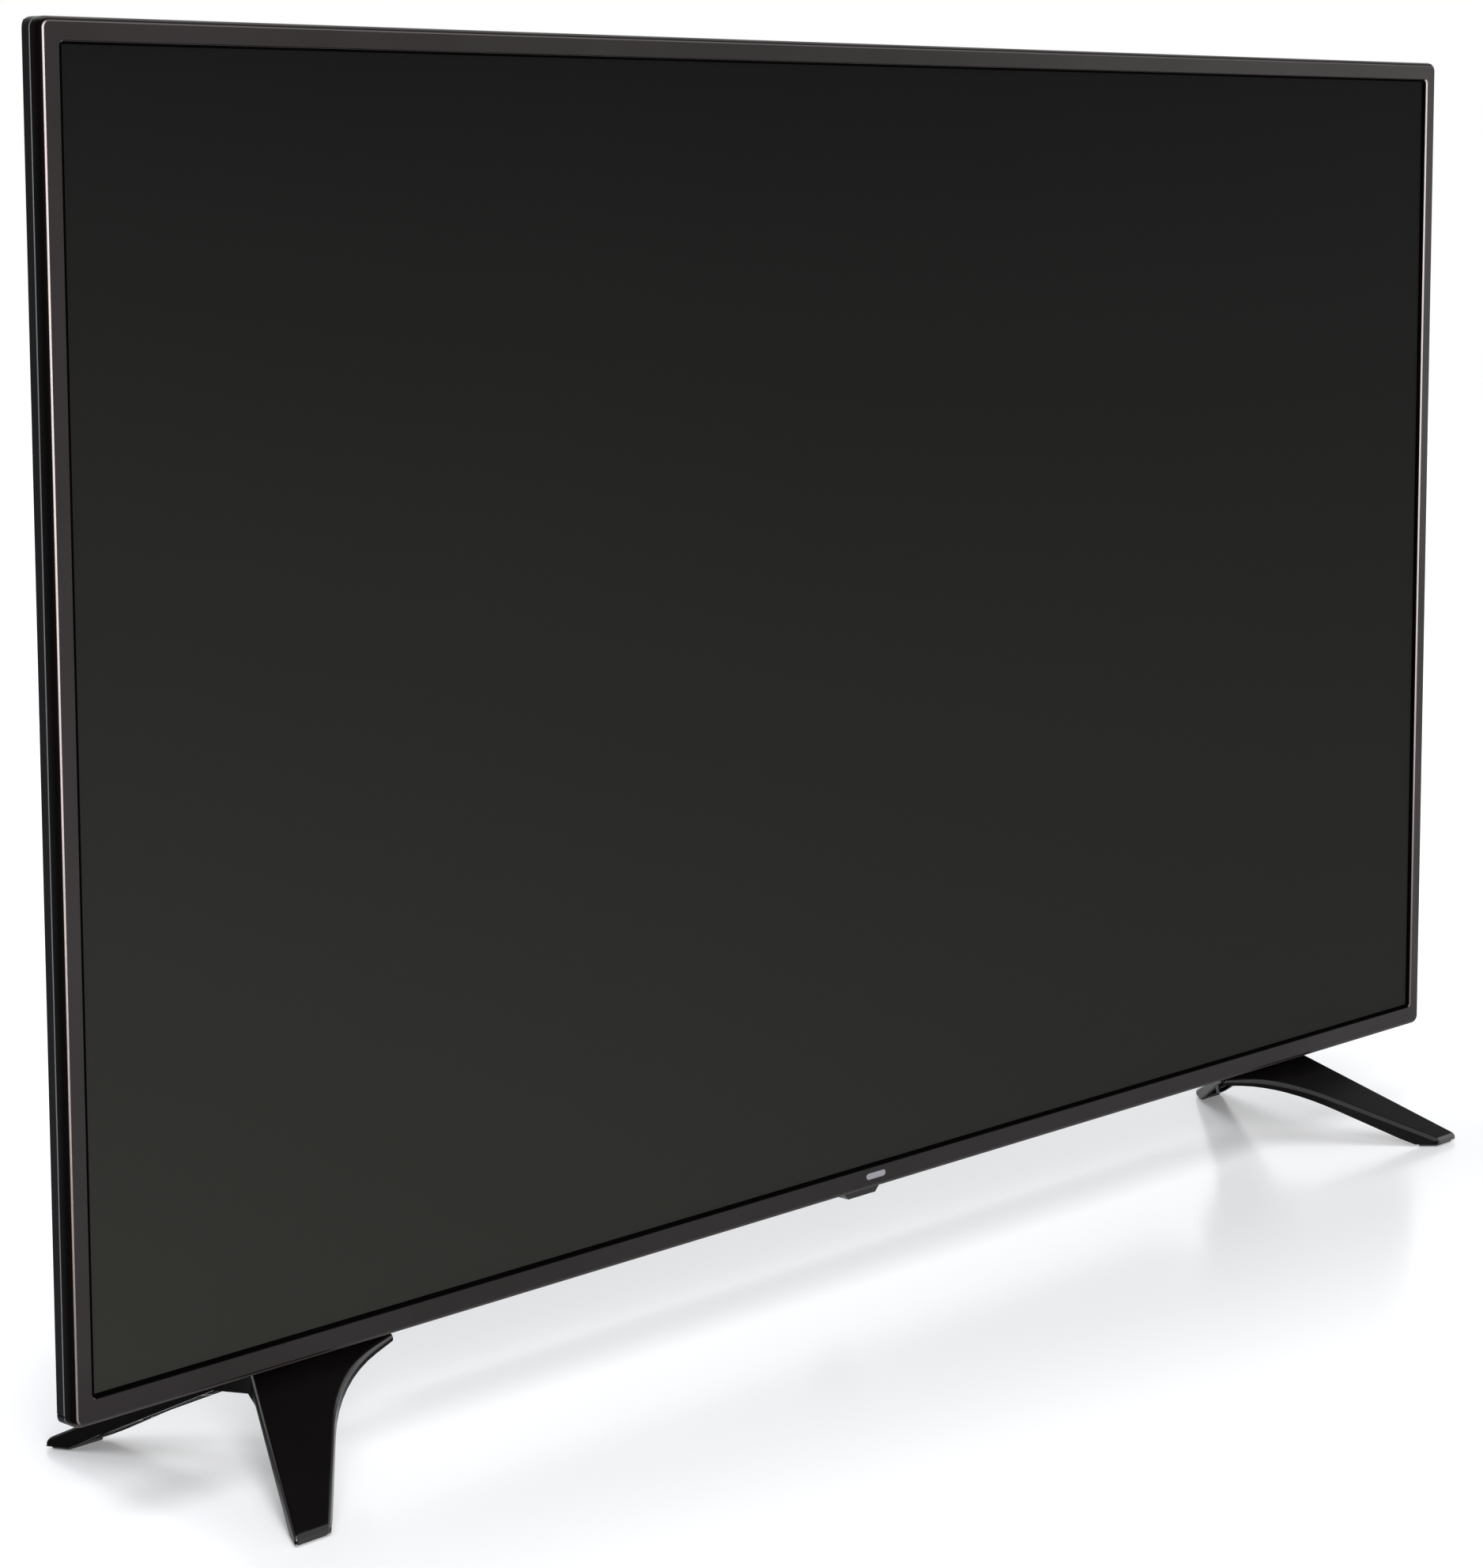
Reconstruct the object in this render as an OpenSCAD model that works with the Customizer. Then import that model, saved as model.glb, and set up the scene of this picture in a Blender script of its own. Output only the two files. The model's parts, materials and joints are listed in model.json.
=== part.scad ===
// Flat screen television on two splayed feet.
// +X right seen from the front, +Y towards the back, +Z up. Origin on the floor, under the feet's middle.
// A depth is measured backwards from the bezel's front face.

/* [Screen opening] */
// Width of the opening inside the bezel
opening_w = 1085; // [960:1:1220]
// Height of the opening inside the bezel
opening_h = 618; // [550:1:700]
// Corner radius of the opening
opening_r = 2.5; // [1:0.5:4]

/* [Bezel] */
// Flat face of the bezel at each side
face_side = 8.2; // [7:0.1:12]
// Flat face of the bezel at the top
face_top = 8.4; // [7:0.1:12]
// Flat face of the bezel at the bottom
face_bottom = 10.1; // [9:0.1:14]
// Radius of the rounded outer front edge
edge_r = 2.65; // [2:0.05:4]
// Outer corner radius seen from the front
corner_r = 5.5; // [4:0.5:10]
// Depth of the bezel from its face to the seam
bezel_depth = 7.2; // [6:0.1:9]
// Wall of the bezel's rim
bezel_wall = 2; // [1.5:0.1:2.5]
// Thickness of the bezel's lip in front of the screen
lip_t = 1.9; // [1.5:0.1:2.4]
// Width of the bare badge plate
badge_w = 16; // [10:1:30]
// Height of the bare badge plate
badge_h = 3.6; // [2:0.2:6]
// Thickness of the badge plate
badge_t = 0.3; // [0.2:0.1:1]

/* [Screen and light box] */
// Thickness of the foam strip in front of the screen
gasket_t = 0.5; // [0.3:0.1:1]
// Foam that shows inside the bezel
gasket_show = 1.2; // [0.5:0.1:2]
// Thickness of the screen cell
cell_t = 1.4; // [1:0.1:2]
// How far the cell reaches behind the bezel
cell_lap = 4; // [3:0.1:4.5]
// Thickness of the guide frame's shelf
shelf_t = 1.5; // [1:0.1:2]
// How far the shelf reaches under the cell
shelf_lap = 6.5; // [4:0.5:8]
// Thickness of each optical sheet
sheet_t = 0.3; // [0.2:0.05:0.5]
// Thickness of the diffuser plate
plate_t = 2; // [1.5:0.1:2.5]
// Width of the seat that carries the diffuser plate
plate_seat = 10; // [8.5:0.5:14]
// Steel of the chassis
chassis_t = 0.8; // [0.6:0.1:1.2]
// Depth of the chassis tray
tray_depth = 18.9; // [17:0.1:21]
// How far the tray's walls lean in
tray_lean = 16; // [12:1:20]
// Rows of light bars
led_rows = 4; // [3:1:5]
// Lenses on each light bar
led_count = 9; // [6:1:11]
// Width of a light bar
bar_w = 14; // [10:1:20]
// Thickness of a light bar
bar_t = 1; // [0.8:0.1:1.6]
// Radius of a lens
lens_r = 8; // [6:0.5:10]
// Height of a lens
lens_h = 6; // [4:0.5:8]

/* [Rear cover] */
// Depth at which the cover's rim ends
rim_depth = 13; // [12:0.5:14.5]
// Depth of the cover's flat upper part
plateau_depth = 42; // [38:0.5:46]
// Depth of the whole body
body_depth = 56; // [51:0.5:63]
// Wall of the rear cover
cover_wall = 2.2; // [1.8:0.1:2.8]
// Slope's reach at the sides and the top
slope_side = 50; // [40:1:56]
// Slope's reach at the bottom
slope_bottom = 20; // [18:0.5:22.5]
// Width of the raised housing
hump_w = 680; // [612:1:760]
// Height of the raised housing
hump_h = 436; // [395:1:488]
// Housing's bottom above the bezel's bottom
hump_lift = 9; // [8:0.5:10]
// Draft of the raised housing's sides
hump_draft = 14; // [8:1:18]
// Inner side of the side recesses' floors behind the chassis
recess_gap = 2; // [1.5:0.1:3]
// Vent slots in each row
vent_count = 20; // [10:1:24]
// Width of a vent slot
vent_w = 3; // [2:0.5:5]
// Length of a vent slot
vent_l = 14; // [8:1:18]

/* [Wall mount] */
// Pitch of the wall mount holes
mount_pitch = 300; // [270:5:335]
// Radius of the threaded wall mount holes
mount_hole_r = 2.5; // [2:0.1:3.5]
// Radius of the wall mount bosses
mount_boss_r = 9; // [7:0.5:11]
// Depth of the threaded holes
mount_thread = 20; // [12:1:24]
// Middle of the holes above the housing's middle
mount_rise = 8; // [0:1:12]

/* [Stand] */
// Floor to the bezel's bottom
stand_gap = 55; // [50:0.5:61]
// Bezel's face in front of the feet's middle
foot_gap = 22.75; // [20.5:0.25:25]
// Reach of a foot from its middle to its tip
foot_reach = 97; // [88:1:108]
// Height of a foot's tip above its pad
tip_h = 3.6; // [3:0.1:5]
// Ridge of a foot above the bezel's bottom
ridge_rise = 1.24; // [0.8:0.02:2]
// Thickness of a leg measured upright
foot_t = 9.5; // [8:0.5:11]
// Height of the hub from its underside to the ridge
hub_h = 18.24; // [16:0.1:21]
// Outer edge of the hub from the housing's side
hub_out = 94.5; // [86:0.5:105]
// Length of the hub
hub_l = 84.5; // [77:0.5:94]
// How far the tips stand out past the hub
tip_flare = 51.1; // [45:0.1:57]
// Width of a tip
tip_w = 21.6; // [18:0.2:26]
// Radius of the inner edge's flare
flare_r = 115; // [105:1:126]
// Distance along the leg at which the flare begins
flare_start = 48; // [44:1:53]
// Thickness of the inner edge at the hub
wing_t = 3.2; // [2.8:0.1:4.5]
// Wall of the hollow legs
foot_wall = 3; // [2.5:0.1:4]
// Ribs in each leg
rib_count = 5; // [3:1:7]
// Thickness of the ribs
rib_t = 1.8; // [1.2:0.1:2.4]
// Thickness of the rubber pads
pad_t = 1.5; // [1:0.1:2.5]
// Depth of the post that goes up into the set
post_d = 16; // [14:0.5:17.5]
// Distance between a foot's two screws
stand_screw_pitch = 50; // [40:1:54]
// Radius of the stand screws
stand_screw_r = 2; // [1.5:0.1:2.5]
// Steel of the stand brackets
bracket_t = 3; // [2:0.1:4]

/* [Boards] */
// Thickness of the circuit boards
pcb_t = 1.6; // [1:0.1:2]
// Posts that carry the boards
post_h = 6; // [5:0.5:7]
// Height of the two large boards
board_h = 237; // [215:1:262]
// Boards above the housing's bottom
board_lift = 34; // [31:0.5:38]
// Side ports from the housing's side
port_inset = 34; // [30:0.5:38]
// Length of the rear ports
rear_port_l = 11.6; // [10.5:0.1:13]

/* [Speakers] */
// Width of a speaker box
box_w = 140; // [120:1:155]
// Depth of a speaker box
box_d = 24; // [23:0.1:26]
// Height of a speaker box
box_h = 20; // [19.2:0.1:22]
// Wall of a speaker box
box_wall = 1.8; // [1.5:0.1:2]
// Length of the cone
cone_l = 60; // [50:1:70]
// Width of the cone
cone_w = 17; // [15:0.5:18.5]
// Travel of the cone each way
cone_travel = 0.8; // [0.4:0.1:1]
// Radius of the magnet
magnet_r = 8.8; // [7.5:0.1:9.8]
// Height of the magnet
magnet_t = 7; // [5:0.1:7.6]
// Radius of the voice coil
coil_r = 5; // [4:0.1:5.6]

/* [Control tab] */
// Width of the tab at the bezel
tab_w = 36; // [34:0.5:40]
// Tab below the bezel's bottom
tab_drop = 6.6; // [6:0.1:7.3]
// Tab's front behind the bezel's face
tab_back = 10.6; // [10:0.1:12]
// Length of the tab front to back
tab_d = 23.4; // [22:0.1:26]
// Height of the tab's housing
tab_h = 20.7; // [19.5:0.1:22.5]
// Wall of the tab's housing
tab_wall = 1.5; // [1.2:0.1:2]
// Radius of the joystick's cap
cap_r = 5.2; // [4.5:0.1:5.8]
// Travel of the joystick's press
press_travel = 0.8; // [0.4:0.1:1]
// Tilt of the joystick each way
tilt = 6; // [3:0.5:6.5]
// Radius of the joystick's stem
stem_r = 1.5; // [1.2:0.05:1.7]

/* [Clearances] */
// Running gap of the small pivots
pivot_gap = 0.06; // [0.04:0.01:0.1]
// Gap around parts that drop into place
seat_gap = 0.3; // [0.2:0.05:0.4]
// Gap around cut-outs in the rear cover
cut_gap = 0.4; // [0.3:0.05:0.6]
// Gap between a screw and its hole
screw_gap = 0.1; // [0.05:0.05:0.3]
// Gap from the tallest parts to the rear cover
lid_gap = 1.4; // [1:0.1:2]

/* [Hidden] */
$fn = 48;
over = 1;                      // how far a cut runs past the face that it opens
sliver = 0.01;                 // how far two solids of one piece reach into each other

// Outline of the set
half_w = opening_w / 2 + face_side + edge_r;
z_bot = stand_gap;
z_open0 = z_bot + face_bottom + edge_r;
z_open1 = z_open0 + opening_h;
z_top = z_open1 + face_top + edge_r;

// Depths of the stack behind the bezel's face
cell_d = lip_t + gasket_t;
shelf_d = cell_d + cell_t;
prism_d = shelf_d + shelf_t;
diffuser_d = prism_d + sheet_t;
plate_d = diffuser_d + sheet_t;
flange_d = plate_d + plate_t;
back_d = flange_d + tray_depth;
board_d = back_d + post_h;
parts_d = board_d + pcb_t;
lid_d = body_depth - cover_wall;
room = lid_d - parts_d;        // height of the space behind the boards

// Rectangles seen from the front: [x0, z0, x1, z1]
function grow(r, s) = [r[0] - s, r[1] - s, r[2] + s, r[3] + s];
function shrink(r, side, bottom) = [r[0] + side, r[1] + bottom, r[2] - side, r[3] - side];
film_room = 0.9;               // space for the films under the guide frame
guide_gap = 0.1;               // guide frame to the walls around it
cell_gap = 0.5;                // cell and sheets to the guide frame
opening = [-opening_w / 2, z_open0, opening_w / 2, z_open1];
outline = [-half_w, z_bot, half_w, z_top];
cavity = grow(outline, -bezel_wall);
cell = grow(opening, cell_lap);
guide_in = grow(cell, cell_gap);
guide_inset = max(bezel_wall, cover_wall) + guide_gap;
guide_out = shrink(outline, guide_inset, guide_inset + film_room);
sheet = grow(cell, -2 * cell_gap);
flange_inset = 2;
flange = shrink(guide_out, flange_inset, flange_inset / 10);
mouth = grow(sheet, -plate_seat);
tray_floor = grow(mouth, -tray_lean);
hump = [-hump_w / 2, z_bot + hump_lift, hump_w / 2, z_bot + hump_lift + hump_h];
plateau = [-half_w + slope_side, z_bot + slope_bottom, half_w - slope_side, z_top - slope_side];
top_draft = 1.6 * hump_draft;  // draft of the housing's top

// Points of an arc, and of a rectangle with round corners
function arc(c, r, a0, a1, n = 6) =
    [for (i = [0:n]) let (a = a0 + (a1 - a0) * i / n) c + r * [cos(a), sin(a)]];
function round_rect(q, r) = concat(
    arc([q[2] - r, q[3] - r], r, 0, 90), arc([q[0] + r, q[3] - r], r, 90, 180),
    arc([q[0] + r, q[1] + r], r, 180, 270), arc([q[2] - r, q[1] + r], r, 270, 360));
function rect(q) = [[q[0], q[1]], [q[2], q[1]], [q[2], q[3]], [q[0], q[3]]];
// The Y of a depth
function y(d) = d - foot_gap;

// A flat outline seen from the front, between two depths
module slab(d0, d1) translate([0, y(d1), 0]) rotate([90, 0, 0]) linear_extrude(d1 - d0) children();
// A side profile in Y and Z, between two X
module along_x(x0, x1) translate([x0, 0, 0]) rotate([90, 0, 90]) linear_extrude(x1 - x0) children();
// A plan outline in X and Y, between two heights
module along_z(z0, z1) translate([0, 0, z0]) linear_extrude(z1 - z0) children();
module block(x0, x1, d0, d1, z0, z1) translate([x0, y(d0), z0]) cube([x1 - x0, d1 - d0, z1 - z0]);
module rod(x, z, r, d0, d1) translate([x, y(d0), z]) rotate([-90, 0, 0]) cylinder(r = r, h = d1 - d0);
module both_sides() { children(); mirror([1, 0, 0]) children(); }
// A frustum between a rectangle at one depth and a smaller one at another
module frustum(d0, d1, q0, q1) intersection() {
    along_z(q0[1], q0[3]) polygon([[q0[0], y(d0)], [q0[2], y(d0)], [q1[2], y(d1)], [q1[0], y(d1)]]);
    along_x(q0[0], q0[2]) polygon([[y(d0), q0[1]], [y(d0), q0[3]], [y(d1), q1[3]], [y(d1), q1[1]]]);
}
// A pan head screw driven forwards from a depth
module screw(x, z, r, head_r, head_t, seat, reach) {
    rod(x, z, r, seat - reach, seat);
    rod(x, z, head_r, seat, seat + head_t);
}

// Bezel, badge and foam
badge_z = z_bot + edge_r + face_bottom / 2;
gasket_inset = 1;              // foam's outer edge inside the cell's edge
module front_bezel() color("#3b3436") difference() {
    intersection() {
        along_z(z_bot, z_top) polygon(concat([[-half_w, y(bezel_depth)]],
            arc([-half_w + edge_r, y(edge_r)], edge_r, 180, 270),
            arc([half_w - edge_r, y(edge_r)], edge_r, 270, 360), [[half_w, y(bezel_depth)]]));
        along_x(-half_w, half_w) polygon(concat([[y(bezel_depth), z_bot], [y(bezel_depth), z_top]],
            arc([y(edge_r), z_top - edge_r], edge_r, 90, 180),
            arc([y(edge_r), z_bot + edge_r], edge_r, 180, 270)));
        slab(0, bezel_depth) polygon(round_rect(outline, corner_r));
    }
    slab(-over, lip_t + over) polygon(round_rect(opening, opening_r));
    slab(lip_t, bezel_depth + over) polygon(round_rect(cavity, corner_r - bezel_wall));
}
module front_badge() color("#c8c8ca") slab(-badge_t, 0) polygon(round_rect(
    [-badge_w / 2, badge_z - badge_h / 2, badge_w / 2, badge_z + badge_h / 2], badge_h / 2 - sliver));
module panel_gasket() color("#050505") difference() {
    slab(lip_t, cell_d) polygon(round_rect(grow(cell, -gasket_inset), opening_r));
    slab(lip_t - over, cell_d + over) polygon(round_rect(grow(opening, -gasket_show), opening_r * 0.8));
}

// Screen cell, its films and source boards
film_t = 0.25;
film_w = 40;
film_count = 5;                // films of each source board
film_lap = 4;                  // film on the back of its board
film_inset = 0.2;              // film behind the cell's front
film_z = cavity[1] + 2 * cell_gap - film_t - 0.35;
film_d = cell_d + film_inset;
source_t = 1.2;
source_edge = 1.2;             // source board inside the flange
source_d = flange_d + chassis_t;
film_back = source_d + source_t;
source_x0 = 24;
source_x1 = mouth[2] - 14;
source_z = [flange[1] + source_edge, mouth[1] - source_edge];
module lcd_panel() color("#222322") slab(cell_d, shelf_d) polygon(rect(cell));
module panel_films() color("#8a5a2a") for (s = [-1, 1], i = [0:film_count - 1]) {
    mid = s * (source_x0 + (source_x1 - source_x0) * (i + 0.5) / film_count);
    along_x(mid - film_w / 2, mid + film_w / 2) polygon([
        [y(film_d), cell[1]], [y(film_d), film_z], [y(film_back + film_t), film_z],
        [y(film_back + film_t), source_z[0] + film_lap], [y(film_back), source_z[0] + film_lap],
        [y(film_back), film_z + film_t], [y(film_d + film_t), film_z + film_t],
        [y(film_d + film_t), cell[1]]]);
}
module source_boards() color("#1f5a3a") both_sides()
    block(source_x0, source_x1, source_d, film_back, source_z[0], source_z[1]);

// Guide frame and optical stack
support_r = [5, 1];            // foot and tip of a diffuser support
reflector_t = 0.4;
reflector_gap = 1.6;           // reflector's edges inside the tray
bar_inset = 15;                // light bars inside the tray's floor
bar_front = back_d - chassis_t - bar_t;
bar_reach = tray_floor[2] - bar_inset;
row_pitch = (tray_floor[3] - tray_floor[1]) / led_rows;
led_pitch = 2 * bar_reach / led_count;
reflector_out = grow(mouth, -reflector_gap);
reflector_floor = grow(tray_floor, -reflector_gap);
function row_z(i) = tray_floor[1] + row_pitch * (i + 0.5);
function led_x(j) = -bar_reach + led_pitch * (j + 0.5);
module guide_frame() color("#161616") difference() {
    slab(cell_d - seat_gap, flange_d) polygon(round_rect(guide_out, corner_r - bezel_wall));
    slab(cell_d - over, shelf_d)
        polygon(rect([guide_in[0], guide_out[1] - over, guide_in[2], guide_in[3]]));
    slab(cell_d - over, shelf_d) polygon(rect([guide_out[0] - over, guide_out[1] - over,
        guide_out[2] + over, guide_in[1]]));
    slab(shelf_d - over, flange_d + over) polygon(rect(grow(cell, -shelf_lap)));
    slab(prism_d, flange_d + over) polygon(rect(guide_in));
}
module prism_sheet() color("#e8ecef") slab(prism_d, diffuser_d) polygon(rect(sheet));
module diffuser_sheet() color("#f2f2f0") slab(diffuser_d, plate_d) polygon(rect(sheet));
module diffuser_plate() color("#f6f6f4") slab(plate_d, flange_d) polygon(rect(sheet));
module diffuser_supports() color("#fafafa")
    for (i = [0:led_rows - 2], j = [2, led_count - 3])
        translate([led_x(j), y(bar_front - reflector_t), row_z(i) + row_pitch / 2]) rotate([90, 0, 0])
            cylinder(r1 = support_r[0], r2 = support_r[1], h = bar_front - reflector_t - flange_d);
module reflector_sheet() color("#fcfcfc") difference() {
    frustum(flange_d + seat_gap, bar_front, reflector_out, reflector_floor);
    frustum(flange_d + seat_gap - sliver, bar_front - reflector_t,
        grow(reflector_out, -reflector_t), grow(reflector_floor, -reflector_t));
    for (i = [0:led_rows - 1], j = [0:led_count - 1])
        rod(led_x(j), row_z(i), lens_r + cut_gap, bar_front - over, bar_front + over);
}
module led_bars() color("#d9dcd6") for (i = [0:led_rows - 1])
    block(-bar_reach, bar_reach, bar_front, bar_front + bar_t, row_z(i) - bar_w / 2, row_z(i) + bar_w / 2);
module led_lenses() color("#eef4f6") for (i = [0:led_rows - 1], j = [0:led_count - 1])
    translate([led_x(j), y(bar_front), row_z(i)]) rotate([90, 0, 0]) rotate_extrude()
        polygon(concat([[0, 0], [lens_r, 0], [lens_r, lens_h * 0.3]],
            [for (a = [30:20:70]) [lens_r * cos(a), lens_h * (0.3 + 0.7 * sin(a))]], [[0, lens_h]]));

// Places of the boards and of the ports on them
board_gap = 0.6;               // boards to the side recess's wall
boss_room = 11;                // wall mount bosses to the boards
hole_in = 6;                   // board holes from the board's edges
mount_z0 = hump[1] + (hump_h - mount_pitch) / 2 + mount_rise;
port_x = hump_w / 2 - port_inset;
board_x0 = mount_pitch / 2 + mount_boss_r + boss_room;
board_x1 = port_x - cover_wall - board_gap;
board_z0 = hump[1] + board_lift;
board_z1 = board_z0 + board_h;
main_rect = [board_x0, board_z0, board_x1, board_z1];
power_rect = [-board_x1, board_z0, -board_x0, board_z1];
timing_w = 180;
timing_h = 38;
timing_lift = 36;              // timing board above the housing's bottom
timing = [-timing_w / 2, hump[1] + timing_lift, timing_w / 2, hump[1] + timing_lift + timing_h];
function corners(q, s) = [for (x = [q[0] + s, q[2] - s], z = [q[1] + s, q[3] - s]) [x, z]];
board_spots = concat(corners(main_rect, hole_in), corners(power_rect, hole_in), corners(timing, hole_in));

// Screws and standoffs
screw_rows = [0.25, 0.53, 0.83]; // heights of the cover screws, as shares of the set's height
screw_inset = 70;              // outer cover screws inside the flat upper part
top_screw_x = 150;
function screw_z(k) = z_bot + k * (z_top - z_bot);
screw_spots = concat(
    [for (x = [-1, 1], k = screw_rows) [x * (plateau[2] - screw_inset), screw_z(k)]],
    [for (x = [-1, 1]) [x * top_screw_x, screw_z(screw_rows[2])]]);
screw_r = 1.95;
screw_head_r = 3.8;
screw_head_t = 2.4;
head_room = 0.8;               // around a screw's head
boss_depth = 5;                // cover screw's head below the cover's face
boss_floor = 2.2;
cover_boss_r = 7;
boss_seat = plateau_depth - boss_depth;
boss_end = boss_seat - boss_floor;
standoff_r = 5;
pcb_screw_r = 1.45;
pcb_head_r = 2.8;
pcb_head_t = 2;
pcb_post_r = 3.5;
thread_floor = 0.4;            // left under a blind screw hole

// Chassis with its board posts, wall mount bosses and cover standoffs
module rear_chassis() color("#9a9ea2") difference() {
    union() {
        slab(flange_d, flange_d + chassis_t) polygon(rect(flange));
        frustum(flange_d + chassis_t, back_d, mouth, tray_floor);
        for (p = board_spots) rod(p[0], p[1], pcb_post_r, back_d, board_d);
    }
    slab(flange_d - over, flange_d + chassis_t) polygon(rect(grow(mouth, -chassis_t)));
    frustum(flange_d + chassis_t - sliver, back_d - chassis_t,
        grow(mouth, -chassis_t), grow(tray_floor, -chassis_t));
    for (p = board_spots) rod(p[0], p[1], pcb_screw_r + screw_gap, back_d + thread_floor, board_d + over);
}
mount_spots = [for (x = [-1, 1], z = [0, 1]) [x * mount_pitch / 2, mount_z0 + z * mount_pitch]];
module mount_bosses() color("#b4b6b8") for (p = mount_spots) difference() {
    rod(p[0], p[1], mount_boss_r, back_d, lid_d);
    rod(p[0], p[1], mount_hole_r, lid_d - mount_thread, lid_d + over);
}
module cover_standoffs() color("#b4b6b8") for (p = screw_spots) difference() {
    rod(p[0], p[1], standoff_r, back_d, boss_end);
    rod(p[0], p[1], screw_r + screw_gap, back_d + thread_floor, boss_end + over);
}

// Main board and what it carries; places are from the board's lower corner
sink_at = [28, 96];
sink_w = 56;
sink_foot = 14;                // heatsink's base beyond the chip under it
sink_t = [1.6, 3, 7.4];        // heights of the chip, the base and the fins
fin_t = 2;
fin_count = 7;
chips = [[32, 164, 13, 10], [50, 164, 13, 10], [68, 164, 13, 10], [14, 62, 12, 16], [30, 62, 14, 12]];
chip_t = 1.3;
tuner_inset = 12;              // tuner can inside the board's side
tuner = [38, 36, 8];
tuner_z = 48;
sink = [board_x0 + sink_at[0], board_z0 + sink_at[1],
        board_x0 + sink_at[0] + sink_w, board_z0 + sink_at[1] + sink_w];
module board(q) difference() {
    slab(board_d, parts_d) polygon(rect(q));
    for (p = corners(q, hole_in)) rod(p[0], p[1], pcb_screw_r + screw_gap, board_d - over, parts_d + over);
}
// A block on a board: its corner, width and height seen from behind, and how far it stands up
module part_on(corner, at, w, h, t) block(corner[0] + at[0], corner[0] + at[0] + w, parts_d, parts_d + t,
    corner[1] + at[1], corner[1] + at[1] + h);
module main_board() color("#1d4f78") board(main_rect);
module main_heatsink() color("#2b2b2d") {
    base_d = parts_d + sink_t[0];
    slab(parts_d, base_d) polygon(rect(grow(sink, -sink_foot)));
    slab(base_d, base_d + sink_t[1]) polygon(rect(sink));
    for (i = [0:fin_count - 1]) {
        x = sink[0] + (sink_w - fin_t) * i / (fin_count - 1);
        block(x, x + fin_t, base_d + sink_t[1], base_d + sink_t[1] + sink_t[2], sink[1], sink[3]);
    }
}
module main_chips() color("#18181a") for (c = chips) part_on(main_rect, c, c[2], c[3], chip_t);
module tuner_can() color("#c3c6c8") block(board_x1 - tuner_inset - tuner[0], board_x1 - tuner_inset,
    parts_d, parts_d + tuner[2], board_z0 + tuner_z, board_z0 + tuner_z + tuner[1]);

// Side ports: [width, height, length] of the shell, and [width, height, tongue] of the mouth
video = [15, 6.2, 18];
video_mouth = [13.9, 4.55, 1.2];
data = [14.5, 7.2, 17];
data_mouth = [12.5, 5.1, 1.8];
mouth_share = 0.65;            // mouth's depth as a share of the port's length
tongue_share = 0.72;           // tongue's width as a share of the mouth's
tongue_back = 1.5;             // tongue's end behind the mouth
tongue_root = 0.5;
side_pitch = 28;
side_top = 25;                 // first side port below the board's top
side_ports = [for (i = [0:2]) board_z1 - side_top - i * side_pitch];
module side_port(p, m, z) {
    mid = parts_d + p[1] / 2;
    floor_x = port_x - p[2] * mouth_share;
    difference() {
        block(port_x - p[2], port_x, parts_d, parts_d + p[1], z - p[0] / 2, z + p[0] / 2);
        block(floor_x, port_x + over, mid - m[1] / 2, mid + m[1] / 2, z - m[0] / 2, z + m[0] / 2);
    }
    block(floor_x - tongue_root, port_x - tongue_back, mid - m[2] / 2, mid + m[2] / 2,
        z - m[0] * tongue_share / 2, z + m[0] * tongue_share / 2);
}
module video_ports() color("#8d8f92") for (i = [0, 1]) side_port(video, video_mouth, side_ports[i]);
module data_port() color("#8d8f92") side_port(data, data_mouth, side_ports[2]);

// Rear ports in one row: [width, height] of the body, and [width, height, depth] of the mouth
lan = [16, 14];
lan_mouth = [11.8, 8, 9.5];
optical = [9.6, 9.6];
optical_mouth = [5.4, 5.4, 7];
av_r = 4.2;
av_hole_r = 1.8;
aerial_r = 6;
barrel_r = 4.7;
aerial_hole_r = 1.2;
aerial_recess = 3;             // aerial sockets' ends inside the body's back
port_proud = 1;                // rear ports beyond their recess's floor
port_edge = 14;                // outer rear ports from the board's sides
rear_lift = 18;                // row of rear ports above the board's bottom
rear_row = board_z0 + rear_lift;
rear_end = parts_d + rear_port_l;
rear_floor = rear_end - port_proud;
rear_pitch = (board_x1 - board_x0 - 2 * port_edge) / 4;
rear_x = [for (i = [0:4]) board_x0 + port_edge + i * rear_pitch];
aerial_x = [rear_x[3], rear_x[4]];
module rear_port(x, p, m) difference() {
    block(x - p[0] / 2, x + p[0] / 2, parts_d, rear_end, rear_row - p[1] / 2, rear_row + p[1] / 2);
    block(x - m[0] / 2, x + m[0] / 2, rear_end - m[2], rear_end + over,
        rear_row - m[1] / 2, rear_row + m[1] / 2);
}
module lan_port() color("#8d8f92") rear_port(rear_x[0], lan, lan_mouth);
module optical_port() color("#1a1a1a") rear_port(rear_x[1], optical, optical_mouth);
module av_jack() color("#caa53a") difference() {
    rod(rear_x[2], rear_row, av_r, parts_d, rear_end);
    rod(rear_x[2], rear_row, av_hole_r, parts_d + port_proud, rear_end + over);
}
module aerial_sockets() color("#b9bcc0") for (x = aerial_x) difference() {
    union() {
        rod(x, rear_row, aerial_r, parts_d, rear_floor - port_proud);
        rod(x, rear_row, barrel_r, rear_floor - port_proud, body_depth - aerial_recess);
    }
    rod(x, rear_row, aerial_hole_r, rear_floor - 2 * port_proud, body_depth);
}

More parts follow.
